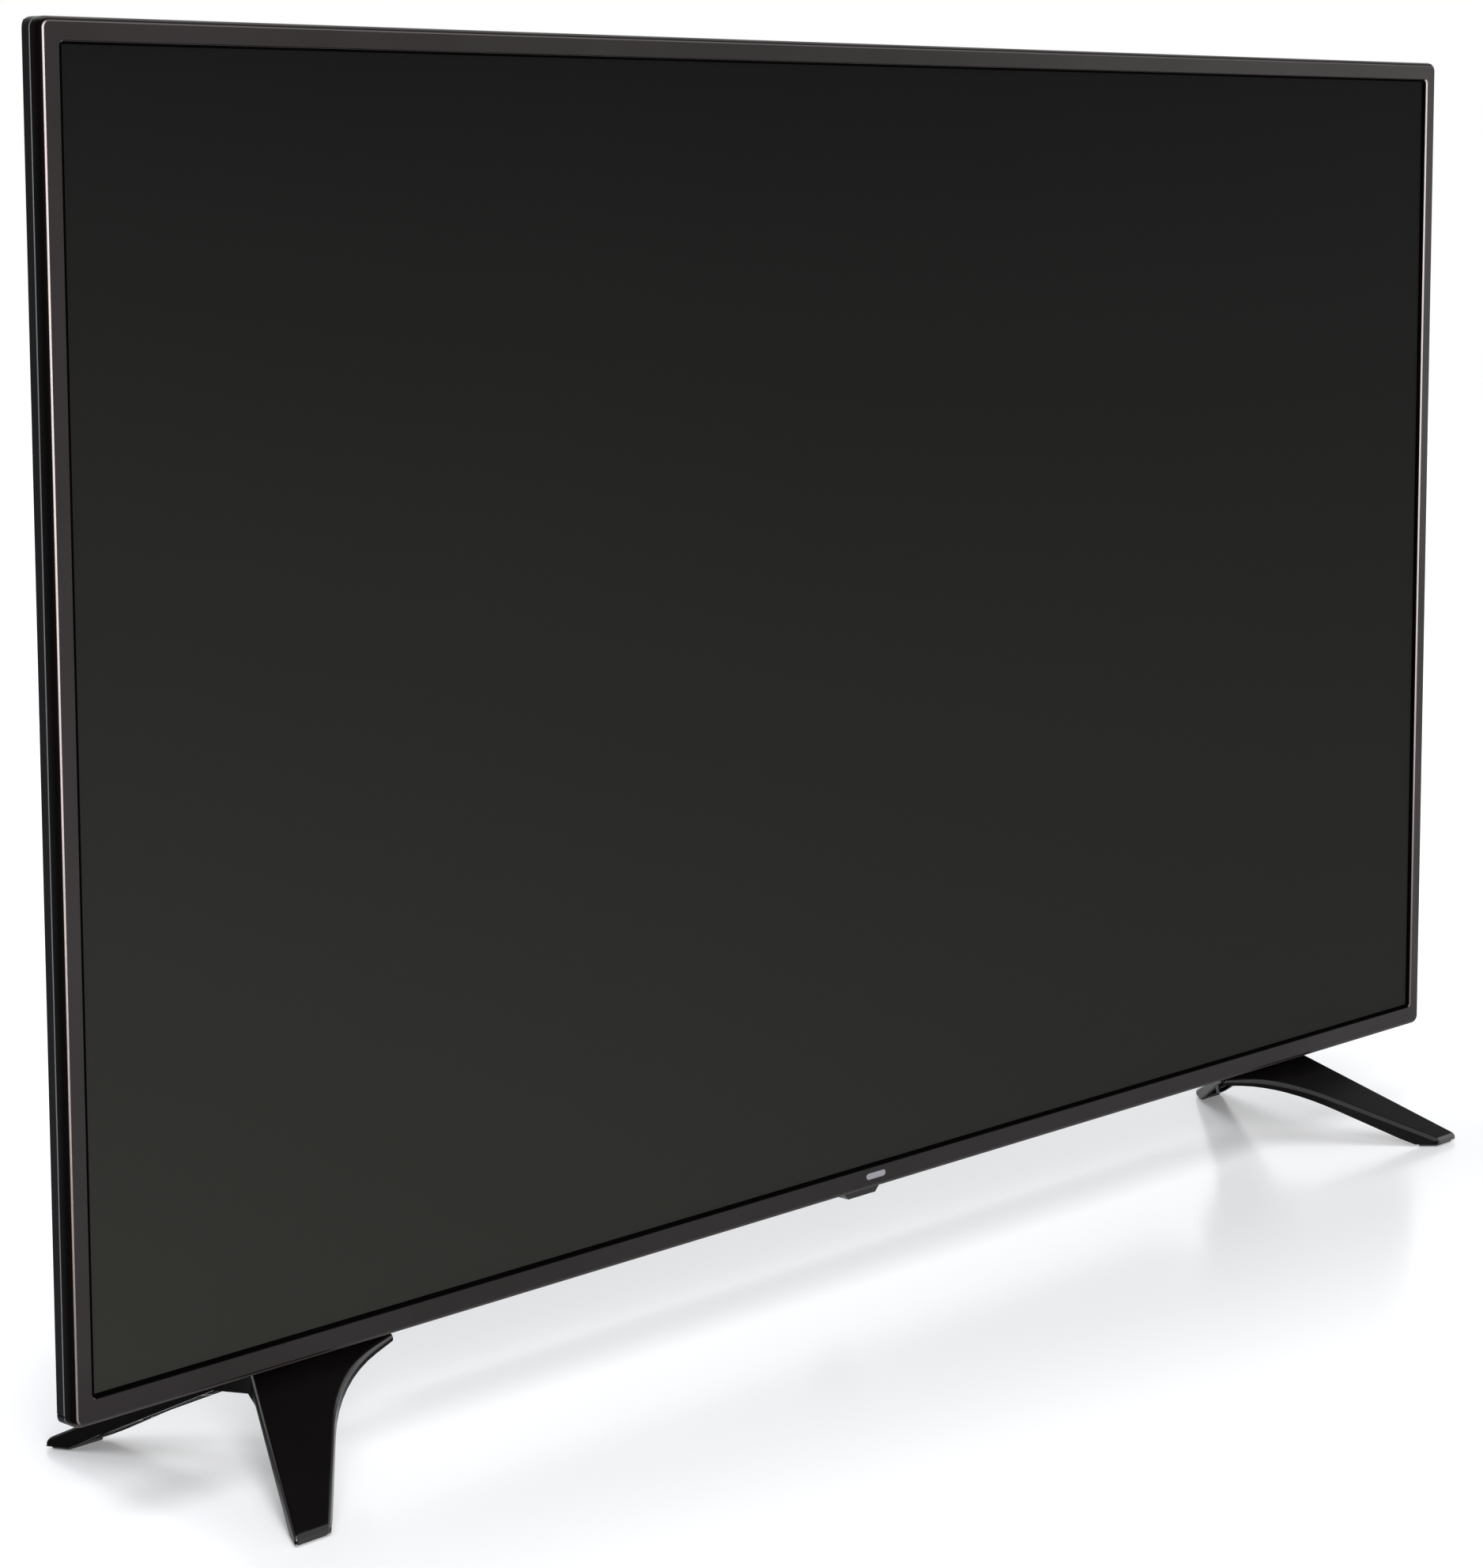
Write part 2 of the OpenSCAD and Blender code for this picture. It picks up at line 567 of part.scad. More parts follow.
// Timing board and ribbons
ribbon_t = 0.4;
ribbon_w = 30;
ribbon_x = 40;
ribbon_rise = 40;              // panel ribbon's turn above the timing board
ribbon_lap = 20;               // panel ribbon under the main board
ribbon_end = 6;                // ribbon under the timing board
source_ribbon = [34, 68];
ribbon_tail = 5;               // source ribbon on its board
lean_ratio = tray_lean / (tray_depth - chassis_t);
module timing_board() color("#1f5a3a") board(timing);
module panel_ribbon() color("#d8d8d2") slab(back_d, back_d + ribbon_t) polygon([
    [ribbon_x, timing[3] - ribbon_end], [ribbon_x + ribbon_w, timing[3] - ribbon_end],
    [ribbon_x + ribbon_w, timing[3] + ribbon_rise], [board_x0 + ribbon_lap, timing[3] + ribbon_rise],
    [board_x0 + ribbon_lap, timing[3] + ribbon_rise + ribbon_w],
    [ribbon_x, timing[3] + ribbon_rise + ribbon_w]]);
// A source ribbon's path over the tray's lower slope, drawn out by s
function slope_path(s) = [[y(back_d + s), timing[1] + ribbon_end], [y(back_d + s), tray_floor[1]],
    [y(film_back + s), mouth[1] + source_t * lean_ratio], [y(film_back + s), source_z[1] - ribbon_tail]];
module source_ribbons() color("#d8d8d2") both_sides() along_x(source_ribbon[0], source_ribbon[1])
    polygon(concat(slope_path(seat_gap), [for (i = [3:-1:0]) slope_path(seat_gap + ribbon_t)[i]]));

// Power board and what it carries; places are from the board's lower corner
core_at = [34, 100];
core = [38, 34];
winding_at = [40, 94];
winding = [26, 46];
capacitor_r = 8.5;
capacitors = [[24, 156], [46, 156], [24, 178], [46, 178], [70, 170]];
cooler_x = [14, 78];
cooler_z = 92;
cooler = [3, 50];              // plate's thickness and length
cooler_fins = 5;
cooler_fin = [8, 2];           // a fin's length and thickness
choke_x = [50, 82];
choke_z = 58;
choke_r = [13, 6];
choke_t = 12;
module power_board() color("#8a6a34") board(power_rect);
module power_transformer() color("#3a3124") {
    part_on(power_rect, core_at, core[0], core[1], room - 3 * lid_gap);
    part_on(power_rect, winding_at, winding[0], winding[1], room - lid_gap);
}
module power_capacitors() color("#23303a") for (p = capacitors)
    rod(power_rect[0] + p[0], board_z0 + p[1], capacitor_r, parts_d, parts_d + room - 2 * lid_gap);
module power_heatsinks() color("#a9acb0") for (x = cooler_x) {
    part_on(power_rect, [x, cooler_z], cooler[0], cooler[1], room - 2.5 * lid_gap);
    for (i = [0:cooler_fins - 1])
        part_on(power_rect, [x + cooler[0], cooler_z + (cooler[1] - cooler_fin[1]) * i / (cooler_fins - 1)],
            cooler_fin[0], cooler_fin[1], room - 2.5 * lid_gap);
}
module mains_choke() color("#b5762c") for (x = choke_x) difference() {
    rod(power_rect[0] + x, board_z0 + choke_z, choke_r[0], parts_d, parts_d + choke_t);
    rod(power_rect[0] + x, board_z0 + choke_z, choke_r[1], parts_d - over, parts_d + choke_t + over);
}

// Mains inlet: [width, height, length] of the shell and of the mouth
inlet = [26, 13.2, 24];
inlet_mouth = [16.6, 9, 14];
inlet_lift = 46;               // inlet's middle above the board's bottom
mains_pin_r = 1.2;
mains_pin_l = 9;
mains_pin_pitch = 8.6;
ac_z = board_z0 + inlet_lift;
inlet_d = parts_d + inlet[1] / 2;
module ac_inlet() color("#141414") mirror([1, 0, 0]) {
    difference() {
        block(port_x - inlet[2], port_x, parts_d, parts_d + inlet[1],
            ac_z - inlet[0] / 2, ac_z + inlet[0] / 2);
        block(port_x - inlet_mouth[2], port_x + over,
            inlet_d - inlet_mouth[1] / 2, inlet_d + inlet_mouth[1] / 2,
            ac_z - inlet_mouth[0] / 2, ac_z + inlet_mouth[0] / 2);
    }
    for (s = [-1, 1])
        translate([port_x - inlet_mouth[2] - tongue_root, y(inlet_d), ac_z + s * mains_pin_pitch / 2])
            rotate([0, 90, 0]) cylinder(r = mains_pin_r, h = mains_pin_l);
}

// Harnesses and the radio module
harness_lift = 160;            // power harness above the boards' bottom
harness = [8, 3];              // width and thickness
harness_plug = [10, 6];        // height and width of its plugs
harness_x = board_x0 - seat_gap;
led_lead = [60, 5, 2.4];       // length, width and thickness of the light harness
led_lead_drop = 25;            // light harness below the board's top
lead_t = 2.5;
lead_gap = 0.2;                // speaker leads to the ribbons that they cross
lead_d = back_d + seat_gap + ribbon_t + lead_gap;
radio = [42, 20, 1.2];
radio_can = [22, 14, 2.2];
radio_gap = 8;                 // radio module beside the timing board
harness_z = board_z0 + harness_lift;
radio_x = timing[0] - radio_gap - radio[0];
module power_harness() color("#7a2020") {
    block(-harness_x, harness_x, back_d, back_d + harness[1],
        harness_z - harness[0] / 2, harness_z + harness[0] / 2);
    both_sides() block(harness_x - harness_plug[1], harness_x, back_d + harness[1], parts_d + harness[1],
        harness_z - harness_plug[0] / 2, harness_z + harness_plug[0] / 2);
}
module led_harness() color("#2a2a2a")
    block(-harness_x, led_lead[0] - harness_x, back_d, back_d + led_lead[2],
        board_z1 - led_lead_drop - led_lead[1], board_z1 - led_lead_drop);
module speaker_leads() color("#202020") block(-speaker_x, speaker_x, lead_d, lead_d + lead_t,
    speaker_z + box_h + seat_gap, speaker_z + box_h + seat_gap + lead_t);
module radio_module() color("#1f5a3a") {
    block(radio_x, radio_x + radio[0], back_d, back_d + radio[2], timing[1], timing[1] + radio[1]);
    block(radio_x + (radio[0] - radio_can[0]) / 2, radio_x + (radio[0] + radio_can[0]) / 2,
        back_d + radio[2], back_d + radio[2] + radio_can[2],
        timing[1] + (radio[1] - radio_can[1]) / 2, timing[1] + (radio[1] + radio_can[1]) / 2);
}
module board_screws() color("#c4c6c8") for (p = board_spots)
    screw(p[0], p[1], pcb_screw_r, pcb_head_r, pcb_head_t, parts_d, pcb_t + post_h - 1.5 * thread_floor);

// Speakers: racetrack drivers that fire down through the housing's bottom
box_side = 8;                  // speaker box to the housing's side
box_gap = 0.5;                 // speaker box to the cover
frame_t = 2;
frame_rim = 1.5;
cone_t = 0.4;
cone_gap = 0.4;                // around the cone, in its frame
cone_stop = 0.2;               // left of the cone's room at the ends of its travel
coil_t = 0.4;
coil_dip = 3;                  // coil inside the magnet
coil_gap = 0.6;                // around the coil, in the magnet
pole_t = 2;                    // magnet's closed end
basket_room = 8;               // basket's height beyond the cone's travel
basket_rim = 4;                // basket around the coil
spoke = 3;
frame_gap = 0.1;               // speaker frame in its box
speaker_x = hump_w / 2 - hump_draft - box_side - box_w / 2;
speaker_z = hump[1] + cover_wall + box_gap;
speaker_d0 = lid_d - box_gap - guide_gap - box_d;
speaker_d = speaker_d0 + box_d / 2;
cone_z = cone_travel + cone_stop;
cone_top = cone_z + cone_t + cone_travel + cone_stop;
basket_h = 2 * cone_travel + basket_room;
frame_w = cone_w + 2 * cone_gap + 2 * frame_rim;
frame_l = cone_l + 2 * cone_gap + 2 * frame_rim;
basket_w = 2 * coil_r + 2 * basket_rim;
function racetrack(l, w) =
    concat(arc([(l - w) / 2, 0], w / 2, -90, 90, 12), arc([(w - l) / 2, 0], w / 2, 90, 270, 12));
module at_speaker() translate([speaker_x, y(speaker_d), speaker_z]) children();
module speaker_boxes() color("#1b1b1c") both_sides() difference() {
    block(speaker_x - box_w / 2, speaker_x + box_w / 2, speaker_d0, speaker_d0 + box_d,
        speaker_z, speaker_z + box_h);
    block(speaker_x - box_w / 2 + box_wall, speaker_x + box_w / 2 - box_wall, speaker_d0 + box_wall,
        speaker_d0 + box_d - box_wall, speaker_z + frame_t, speaker_z + box_h - box_wall);
    at_speaker() along_z(-over, cone_top + seat_gap)
        polygon(racetrack(frame_l + 2 * frame_gap, frame_w + 2 * frame_gap));
}
module speaker_frames() color("#4a4c50") both_sides() at_speaker() difference() {
    union() {
        along_z(0, cone_top + sliver) polygon(racetrack(frame_l, frame_w));
        along_z(cone_top - over, basket_h) polygon(racetrack(cone_l, basket_w));
    }
    along_z(-over, cone_top) polygon(racetrack(cone_l + 2 * cone_gap, cone_w + 2 * cone_gap));
    along_z(cone_top - over, basket_h - frame_t)
        polygon(racetrack(cone_l - 2 * spoke, basket_w - basket_rim));
    for (s = [-1, 1]) translate([s * cone_l / 4, 0, basket_h - frame_t - over])
        cylinder(r = spoke, h = frame_t + 2 * over);
    translate([0, 0, -over]) cylinder(r = coil_r + coil_t + coil_gap, h = basket_h + 2 * over);
}
module speaker_magnets() color("#8f9296") both_sides() at_speaker()
    translate([0, 0, basket_h]) difference() {
    cylinder(r = magnet_r, h = magnet_t);
    difference() {
        translate([0, 0, -over]) cylinder(r = coil_r + coil_t + coil_gap, h = magnet_t - pole_t + over);
        translate([0, 0, -2 * over]) cylinder(r = coil_r - coil_gap, h = magnet_t + 2 * over);
    }
}
// A flat cone with its coil
module speaker_cone() difference() {
    union() {
        along_z(cone_z, cone_z + cone_t) polygon(racetrack(cone_l, cone_w));
        translate([0, 0, cone_z]) cylinder(r = coil_r + coil_t, h = basket_h + coil_dip - cone_z);
    }
    translate([0, 0, cone_z + cone_t]) cylinder(r = coil_r, h = basket_h + coil_dip);
}
module speaker_cone_left() color("#2c2c2e") mirror([1, 0, 0]) at_speaker() speaker_cone();
module speaker_cone_right() color("#2c2c2e") at_speaker() speaker_cone();

// Control tab with its joystick
pivot_lift = 10.7;             // joystick's pivot above the tab's bottom
cap_drop = 1;                  // cap below the tab
cap_t = 3.6;
dish_r = 8;                    // finger dish in the cap
dish_depth = 0.8;
ring_in = 3;                   // gimbal ring
ring_out = 5;
ring_t = 2.4;
pin_r = 0.8;                   // gimbal's pins
pin_l = 2;
cross_r = 0.7;                 // stem's cross pin
cross_inset = 0.6;
stem_low = 6.4;                // stem below and above the pivot
stem_high = 3.4;
sleeve_t = 1.1;                // cap's sleeve around the stem
sleeve_gap = 1.2;              // sleeve's end to the gimbal ring when pressed
ear_gap = 0.6;                 // gimbal ring to the ears
ear_d = 2;                     // half depth of the ears
switch_w = 6;
switch_gap = 0.6;              // stem's end to the switch
tab_in = 9.5;                  // half width of the tab's hollow
joy_board_t = 1.2;
tab_z0 = z_bot - tab_drop;
tab_z1 = tab_z0 + tab_h;
tab_low = tab_w / 2 - tab_drop;
joy_d = tab_back + tab_d / 2;
joy_z = tab_z0 + pivot_lift;
cap_z = -pivot_lift - cap_drop;
cap_hole_r = cap_r + seat_gap + sqrt(2) * (pivot_lift + cap_drop) * sin(tilt);
sleeve_top = -ring_t / 2 - press_travel - sleeve_gap;
module tab_outline(s) polygon([[-tab_low - s, tab_z0 - s], [tab_low + s, tab_z0 - s],
    [tab_w / 2 + s, z_bot - s * 0.4], [tab_w / 2 + s, tab_z1 + s], [-tab_w / 2 - s, tab_z1 + s],
    [-tab_w / 2 - s, z_bot - s * 0.4]]);
module at_pivot() translate([0, y(joy_d), joy_z]) children();
module control_tab() color("#1c1a1b") difference() {
    union() {
        difference() {
            slab(tab_back, tab_back + tab_d) tab_outline(0);
            block(-tab_in, tab_in, tab_back + tab_wall, tab_back + tab_d - tab_wall,
                tab_z0 + tab_wall, tab_z1 + over);
        }
        both_sides() block(ring_out + ear_gap, tab_in + over, joy_d - ear_d, joy_d + ear_d,
            joy_z - ear_d, tab_z1);
    }
    translate([0, y(joy_d), tab_z0 - over]) cylinder(r = cap_hole_r, h = tab_wall + 2 * over);
    translate([-tab_in, y(joy_d), joy_z]) rotate([0, 90, 0])
        cylinder(r = pin_r + pivot_gap, h = 2 * tab_in);
}
module control_board() color("#1f5a3a")
    block(-tab_w / 2, tab_w / 2, tab_back, tab_back + tab_d, tab_z1, tab_z1 + joy_board_t);
module tact_switch() color("#3c3c3e")
    block(-switch_w / 2, switch_w / 2, joy_d - switch_w / 2, joy_d + switch_w / 2,
        joy_z + stem_high + switch_gap, tab_z1);
module joystick_gimbal() color("#6a6a6c") at_pivot() difference() {
    union() {
        translate([0, 0, -ring_t / 2]) cylinder(r = ring_out, h = ring_t);
        translate([-ring_out - pin_l, 0, 0]) rotate([0, 90, 0])
            cylinder(r = pin_r, h = 2 * ring_out + 2 * pin_l);
    }
    translate([0, 0, -ring_t]) cylinder(r = ring_in, h = 2 * ring_t);
    translate([0, -ring_out - over, 0]) rotate([-90, 0, 0])
        cylinder(r = cross_r + pivot_gap, h = 2 * ring_out + 2 * over);
}
module joystick_stem() color("#3a3a3c") at_pivot() {
    translate([0, 0, -stem_low]) cylinder(r = stem_r, h = stem_low + stem_high);
    translate([0, cross_inset - ring_out, 0]) rotate([-90, 0, 0])
        cylinder(r = cross_r, h = 2 * ring_out - 2 * cross_inset);
}
module joystick_cap() color("#222224") at_pivot() difference() {
    union() {
        translate([0, 0, cap_z]) cylinder(r = cap_r, h = cap_t);
        translate([0, 0, cap_z + cap_t]) cylinder(r = stem_r + sleeve_t, h = sleeve_top - cap_z - cap_t);
    }
    translate([0, 0, -stem_low - press_travel - cross_inset])
        cylinder(r = stem_r + pivot_gap, h = stem_low + press_travel + cross_inset);
    translate([0, 0, cap_z + dish_depth - dish_r]) sphere(r = dish_r);
}

// Stand brackets
bracket_lift = 1;              // post's seat above the slope of the cover's bottom
bracket_gap = 3.8;             // bracket to the cover's flat upper part
bracket_arm = 60;              // bracket's height on the chassis
bracket_step = 2;              // bracket's step above the tray floor's lower edge
bracket_front = 5.25;          // bracket's front before the screws
screw_back = 1.5;              // stand screws behind the feet's middle
post_inset = [8, 2.5];         // post's ends inside the hub
foot_x = hump_w / 2 + hub_out;
hub_in = foot_x - hub_l;
post_x = [hub_in + post_inset[0], foot_x - post_inset[1]];
post_mid = (post_x[0] + post_x[1]) / 2;
bracket_z = z_bot + slope_bottom + bracket_lift;
screw_d = foot_gap + screw_back;
bracket_d = [screw_d - bracket_front, plateau_depth - cover_wall - bracket_gap];
step_z = tray_floor[1] + bracket_step;
stand_screw_x = [post_mid - stand_screw_pitch / 2, post_mid + stand_screw_pitch / 2];
module stand_brackets() color("#9a9ea2") both_sides() difference() {
    along_x(post_x[0], post_x[1]) polygon([
        [y(bracket_d[0]), bracket_z], [y(bracket_d[1]), bracket_z],
        [y(bracket_d[1]), step_z + bracket_t], [y(back_d + bracket_t), step_z + bracket_t],
        [y(back_d + bracket_t), tray_floor[1] + bracket_arm], [y(back_d), tray_floor[1] + bracket_arm],
        [y(back_d), step_z], [y(bracket_d[1] - bracket_t), step_z],
        [y(bracket_d[1] - bracket_t), bracket_z + bracket_t], [y(bracket_d[0]), bracket_z + bracket_t]]);
    for (x = stand_screw_x) translate([x, y(screw_d), bracket_z - over])
        cylinder(r = stand_screw_r + screw_gap, h = bracket_t + 2 * over);
}

// Feet: a plan with a flared inner edge, cut by the side profile of a bent blade
flare_a = 42.2;                // angle of the inner edge along the leg
flare_end = 75;                // angle of the inner edge at the hub
ridge_z = z_bot + ridge_rise;
ramp = (ridge_z - pad_t - tip_h) / foot_reach;
hub_under = ridge_z - hub_h;
out_slope = tip_flare / foot_reach;
tip_in = foot_x + tip_flare - tip_w;
tip_out = foot_x + tip_flare;
flare_x = tip_in - tan(flare_a) * (foot_reach - flare_start);
flare_c = [flare_x - flare_r * cos(flare_a), flare_start + flare_r * sin(flare_a)];
// Edges of the plan at a distance v along the leg, drawn in by s
function out_edge(s, v) = foot_x + out_slope * v - s * sqrt(1 + out_slope * out_slope);
function in_edge(s, v) = tip_in - tan(flare_a) * (foot_reach - v) + s / cos(flare_a);
function flare_pt(s, a) = [flare_c[0] + (flare_r + s) * cos(a), flare_c[1] - (flare_r + s) * sin(a)];
function half_plan(s) = concat(
    [[hub_in + s, flare_pt(s, flare_end)[1] - (flare_pt(s, flare_end)[0] - hub_in - s) / tan(flare_end)]],
    [for (i = [0:8]) flare_pt(s, flare_end + (flare_a - flare_end) * i / 8)],
    [[in_edge(s, foot_reach - s), foot_reach - s], [out_edge(s, foot_reach - s), foot_reach - s]],
    [[out_edge(s, 0), 0]]);
function foot_plan(s) = let (h = half_plan(s), n = len(h))
    concat(h, [for (i = [n - 2:-1:0]) [h[i][0], -h[i][1]]]);
// How far along the leg its surface, lowered by drop, comes down to a height
function leg_v(z, drop) = (ridge_z - drop - z) / ramp;
hollow_end = 4;                // solid end of a leg's hollow
hub_solid = 6;                 // solid hub in front of and behind the post
hollow_v = [post_d / 2 + hub_solid, leg_v(pad_t, foot_t) - hollow_end];
post_root = 4;                 // post's lower end above the hub's underside
rib_angle = 35;
rib_l = 120;
head_depth = 14;               // stand screws' seats above the hub's underside
head_t = 2.6;
pad_inset = 2;
pad_front = 1;
module foot_side(drop, base) polygon([
    [-foot_reach, base], [-foot_reach, ridge_z - drop - ramp * foot_reach], [0, ridge_z - drop],
    [foot_reach, ridge_z - drop - ramp * foot_reach], [foot_reach, base]]);
module foot_arch() polygon([
    [-leg_v(pad_t, foot_t), -over], [-leg_v(pad_t, foot_t), pad_t], [-leg_v(hub_under, foot_t), hub_under],
    [leg_v(hub_under, foot_t), hub_under], [leg_v(pad_t, foot_t), pad_t], [leg_v(pad_t, foot_t), -over]]);
module foot_form() intersection() {
    along_z(0, bracket_z) polygon(foot_plan(0));
    difference() {
        along_x(hub_in - over, tip_out + over) foot_side(0, pad_t);
        along_x(hub_in - 2 * over, tip_out + 2 * over) foot_arch();
    }
}
module foot_hollow() intersection() {
    along_z(0, ridge_z) polygon(foot_plan(foot_wall));
    difference() {
        along_x(hub_in - over, tip_out + over) foot_side(foot_wall * sqrt(1 + ramp * ramp), -over);
        translate([hub_in - 2 * over, -hollow_v[0], -2 * over])
            cube([tip_out - hub_in + 4 * over, 2 * hollow_v[0], ridge_z + 2 * over]);
    }
    translate([hub_in, -hollow_v[1], 0]) cube([tip_out - hub_in, 2 * hollow_v[1], ridge_z]);
}
module foot_ribs() for (m = [-1, 1], i = [0:rib_count - 1]) {
    v = hollow_v[0] + (hollow_v[1] - hollow_v[0]) * (i + 0.5) / rib_count;
    translate([(in_edge(0, v) + out_edge(0, v)) / 2, m * v, 0])
        rotate([0, 0, m * (i % 2 == 0 ? rib_angle : -rib_angle)])
            translate([-rib_l / 2, -rib_t / 2, 0]) cube([rib_l, rib_t, ridge_z]);
}
// Relief that thins the inner edge: it deepens along the legs and runs out across the hub
wing_ramp = ramp + 0.08;
wing_slope = 0.37;
wing_flat = 5;                 // full relief from the hub's end
module wing_relief() intersection() {
    top = ridge_z - wing_t;
    along_x(hub_in - over, tip_out + over)
        polygon([[-(top + over) / wing_ramp, -over], [0, top], [(top + over) / wing_ramp, -over]]);
    translate([0, foot_reach, 0]) rotate([90, 0, 0]) linear_extrude(2 * foot_reach) polygon([
        [hub_in - 2 * over, -2 * over], [hub_in - 2 * over, top + over],
        [hub_in + wing_flat - over / wing_slope, top + over],
        [hub_in + wing_flat + (top + 2 * over) / wing_slope, -2 * over]]);
}
module foot() difference() {
    union() {
        difference() {
            foot_form();
            difference() {
                foot_hollow();
                foot_ribs();
            }
        }
        translate([post_x[0], -post_d / 2, hub_under + post_root])
            cube([post_x[1] - post_x[0], post_d, bracket_z - hub_under - post_root]);
    }
    wing_relief();
    for (x = stand_screw_x) translate([x, y(screw_d), 0]) {
        cylinder(r = stand_screw_r + 3 * screw_gap, h = bracket_z + over);
        cylinder(r = stand_screw_r * 2, h = hub_under + head_depth);
    }
}
module foot_left() color("#0d0b0c") mirror([1, 0, 0]) foot();
module foot_right() color("#0d0b0c") foot();
module foot_pads() color("#1a1a1a") both_sides() for (m = [0, 1]) mirror([0, m, 0]) intersection() {
    along_z(0, pad_t) polygon(foot_plan(pad_inset));
    translate([hub_in, leg_v(pad_t, foot_t) + pad_front, 0]) cube([tip_out - hub_in, foot_reach, pad_t]);
}
module stand_screws() color("#2a2a2c") both_sides() for (x = stand_screw_x)
    translate([x, y(screw_d), hub_under + head_depth]) {
        cylinder(r = stand_screw_r, h = bracket_z + bracket_t + bracket_step - hub_under - head_depth);
        translate([0, 0, -head_t]) cylinder(r = stand_screw_r * 1.8, h = head_t);
    }

// Rear cover with its recesses, boss wells and vents; a plate of its own carries the mains inlet
recess_w = 44;                 // flat floor of a side recess
recess_ramp = 40;              // ramp from that floor up to the cover
recess_edge = [7, 99];         // side recess's ends below the boards' top
ac_recess_h = 44;
plate_rim = 5;                 // rim of the inlet's plate along the recess
rear_recess_edge = 4;          // rear recess inside the board's sides and bottom
rear_recess_h = 28;
outside = 5;                   // cuts beyond the body's back
recess_floor = back_d + cover_wall + recess_gap;
side_span = [board_z1 - recess_edge[1], board_z1 - recess_edge[0]];
ac_span = [ac_z - ac_recess_h / 2, ac_z + ac_recess_h / 2];
rear_box = [board_x0 + rear_recess_edge, board_z0 + rear_recess_edge,
            board_x1 - rear_recess_edge, board_z0 + rear_recess_edge + rear_recess_h];
mount_well = 1.5;              // cover's wall mount holes inside the bosses
vent_edge = 8;                 // vents below the housing's top edge
vent_side = 21;                // vents inside the wall mount holes
vent_row = 1.3;                // pitch of the vent rows in slot lengths
grille_count = 14;
grille_pitch = 4.4;
vent_top = hump[3] - top_draft - vent_edge;
vent_pitch = (mount_pitch - 2 * vent_side) / vent_count;
// The cover's solid form, drawn in by s
module cover_body(s) {
    lap = s > 0 ? sliver : 0;
    slab(bezel_depth - (s > 0 ? over : 0), rim_depth) polygon(round_rect(grow(outline, -s), corner_r - s));
    intersection() {
        slab(rim_depth - over, plateau_depth) polygon(round_rect(grow(outline, -s), corner_r - s));
        frustum(rim_depth - lap, plateau_depth - s, grow(outline, -s), grow(plateau, -s));
    }
    slab(rim_depth - lap, plateau_depth - s) polygon(rect(grow(hump, -s)));
    frustum(plateau_depth - s - sliver, body_depth - s, grow(hump, -s),
        [hump[0] + s + hump_draft, hump[1] + s, hump[2] - s - hump_draft, hump[3] - s - top_draft]);
}
// A recess for plugs beside a row of side ports, drawn out by s
module side_recess(z, s) along_z(z[0] - s, z[1] + s) polygon([
    [port_x - s, y(recess_floor - s)], [port_x + recess_w + s, y(recess_floor - s)],
    [port_x + recess_w + recess_ramp + s, y(plateau_depth + over)],
    [port_x + recess_w + recess_ramp + s, y(body_depth + outside)], [port_x - s, y(body_depth + outside)]]);
module rear_recess(s) slab(rear_floor - s, body_depth + outside) polygon(rect(grow(rear_box, s)));
module recesses(s) {
    side_recess(side_span, s);
    mirror([1, 0, 0]) side_recess(ac_span, s);
    rear_recess(s);
}
module port_cut(p, z) block(port_x - cover_wall - over, port_x + over,
    parts_d - cut_gap, parts_d + p[1] + cut_gap, z - p[0] / 2 - cut_gap, z + p[0] / 2 + cut_gap);
// The room of the inlet's plate: the inner end of its recess, from the floor to the housing's back
module plate_room(s) difference() {
    block(port_x - cover_wall - s, port_x + plate_rim, recess_floor - cover_wall - s, lid_d,
        ac_span[0] - cover_wall - s, ac_span[1] + cover_wall + s);
    side_recess(ac_span, 0);
}
module rear_cut(x, p) block(x - p[0] / 2 - cut_gap, x + p[0] / 2 + cut_gap, rear_floor - cover_wall - over,
    rear_floor + over, rear_row - p[1] / 2 - cut_gap, rear_row + p[1] / 2 + cut_gap);
module rear_hole(x, r) rod(x, rear_row, r + cut_gap, rear_floor - cover_wall - over, rear_floor + over);
module vents() {
    for (i = [0:vent_count - 1], r = [0, 1]) {
        mid = (i - (vent_count - 1) / 2) * vent_pitch;
        top = vent_top - vent_l * vent_row * r;
        block(mid - vent_w / 2, mid + vent_w / 2, lid_d - over, body_depth + over, top - vent_l, top);
    }
    both_sides() for (i = [0:grille_count - 1]) {
        x = speaker_x + (i - grille_count / 2) * grille_pitch;
        block(x, x + grille_pitch / 2, speaker_d - cone_w / 2, speaker_d + cone_w / 2,
            hump[1] - over, hump[1] + cover_wall + over);
    }
}
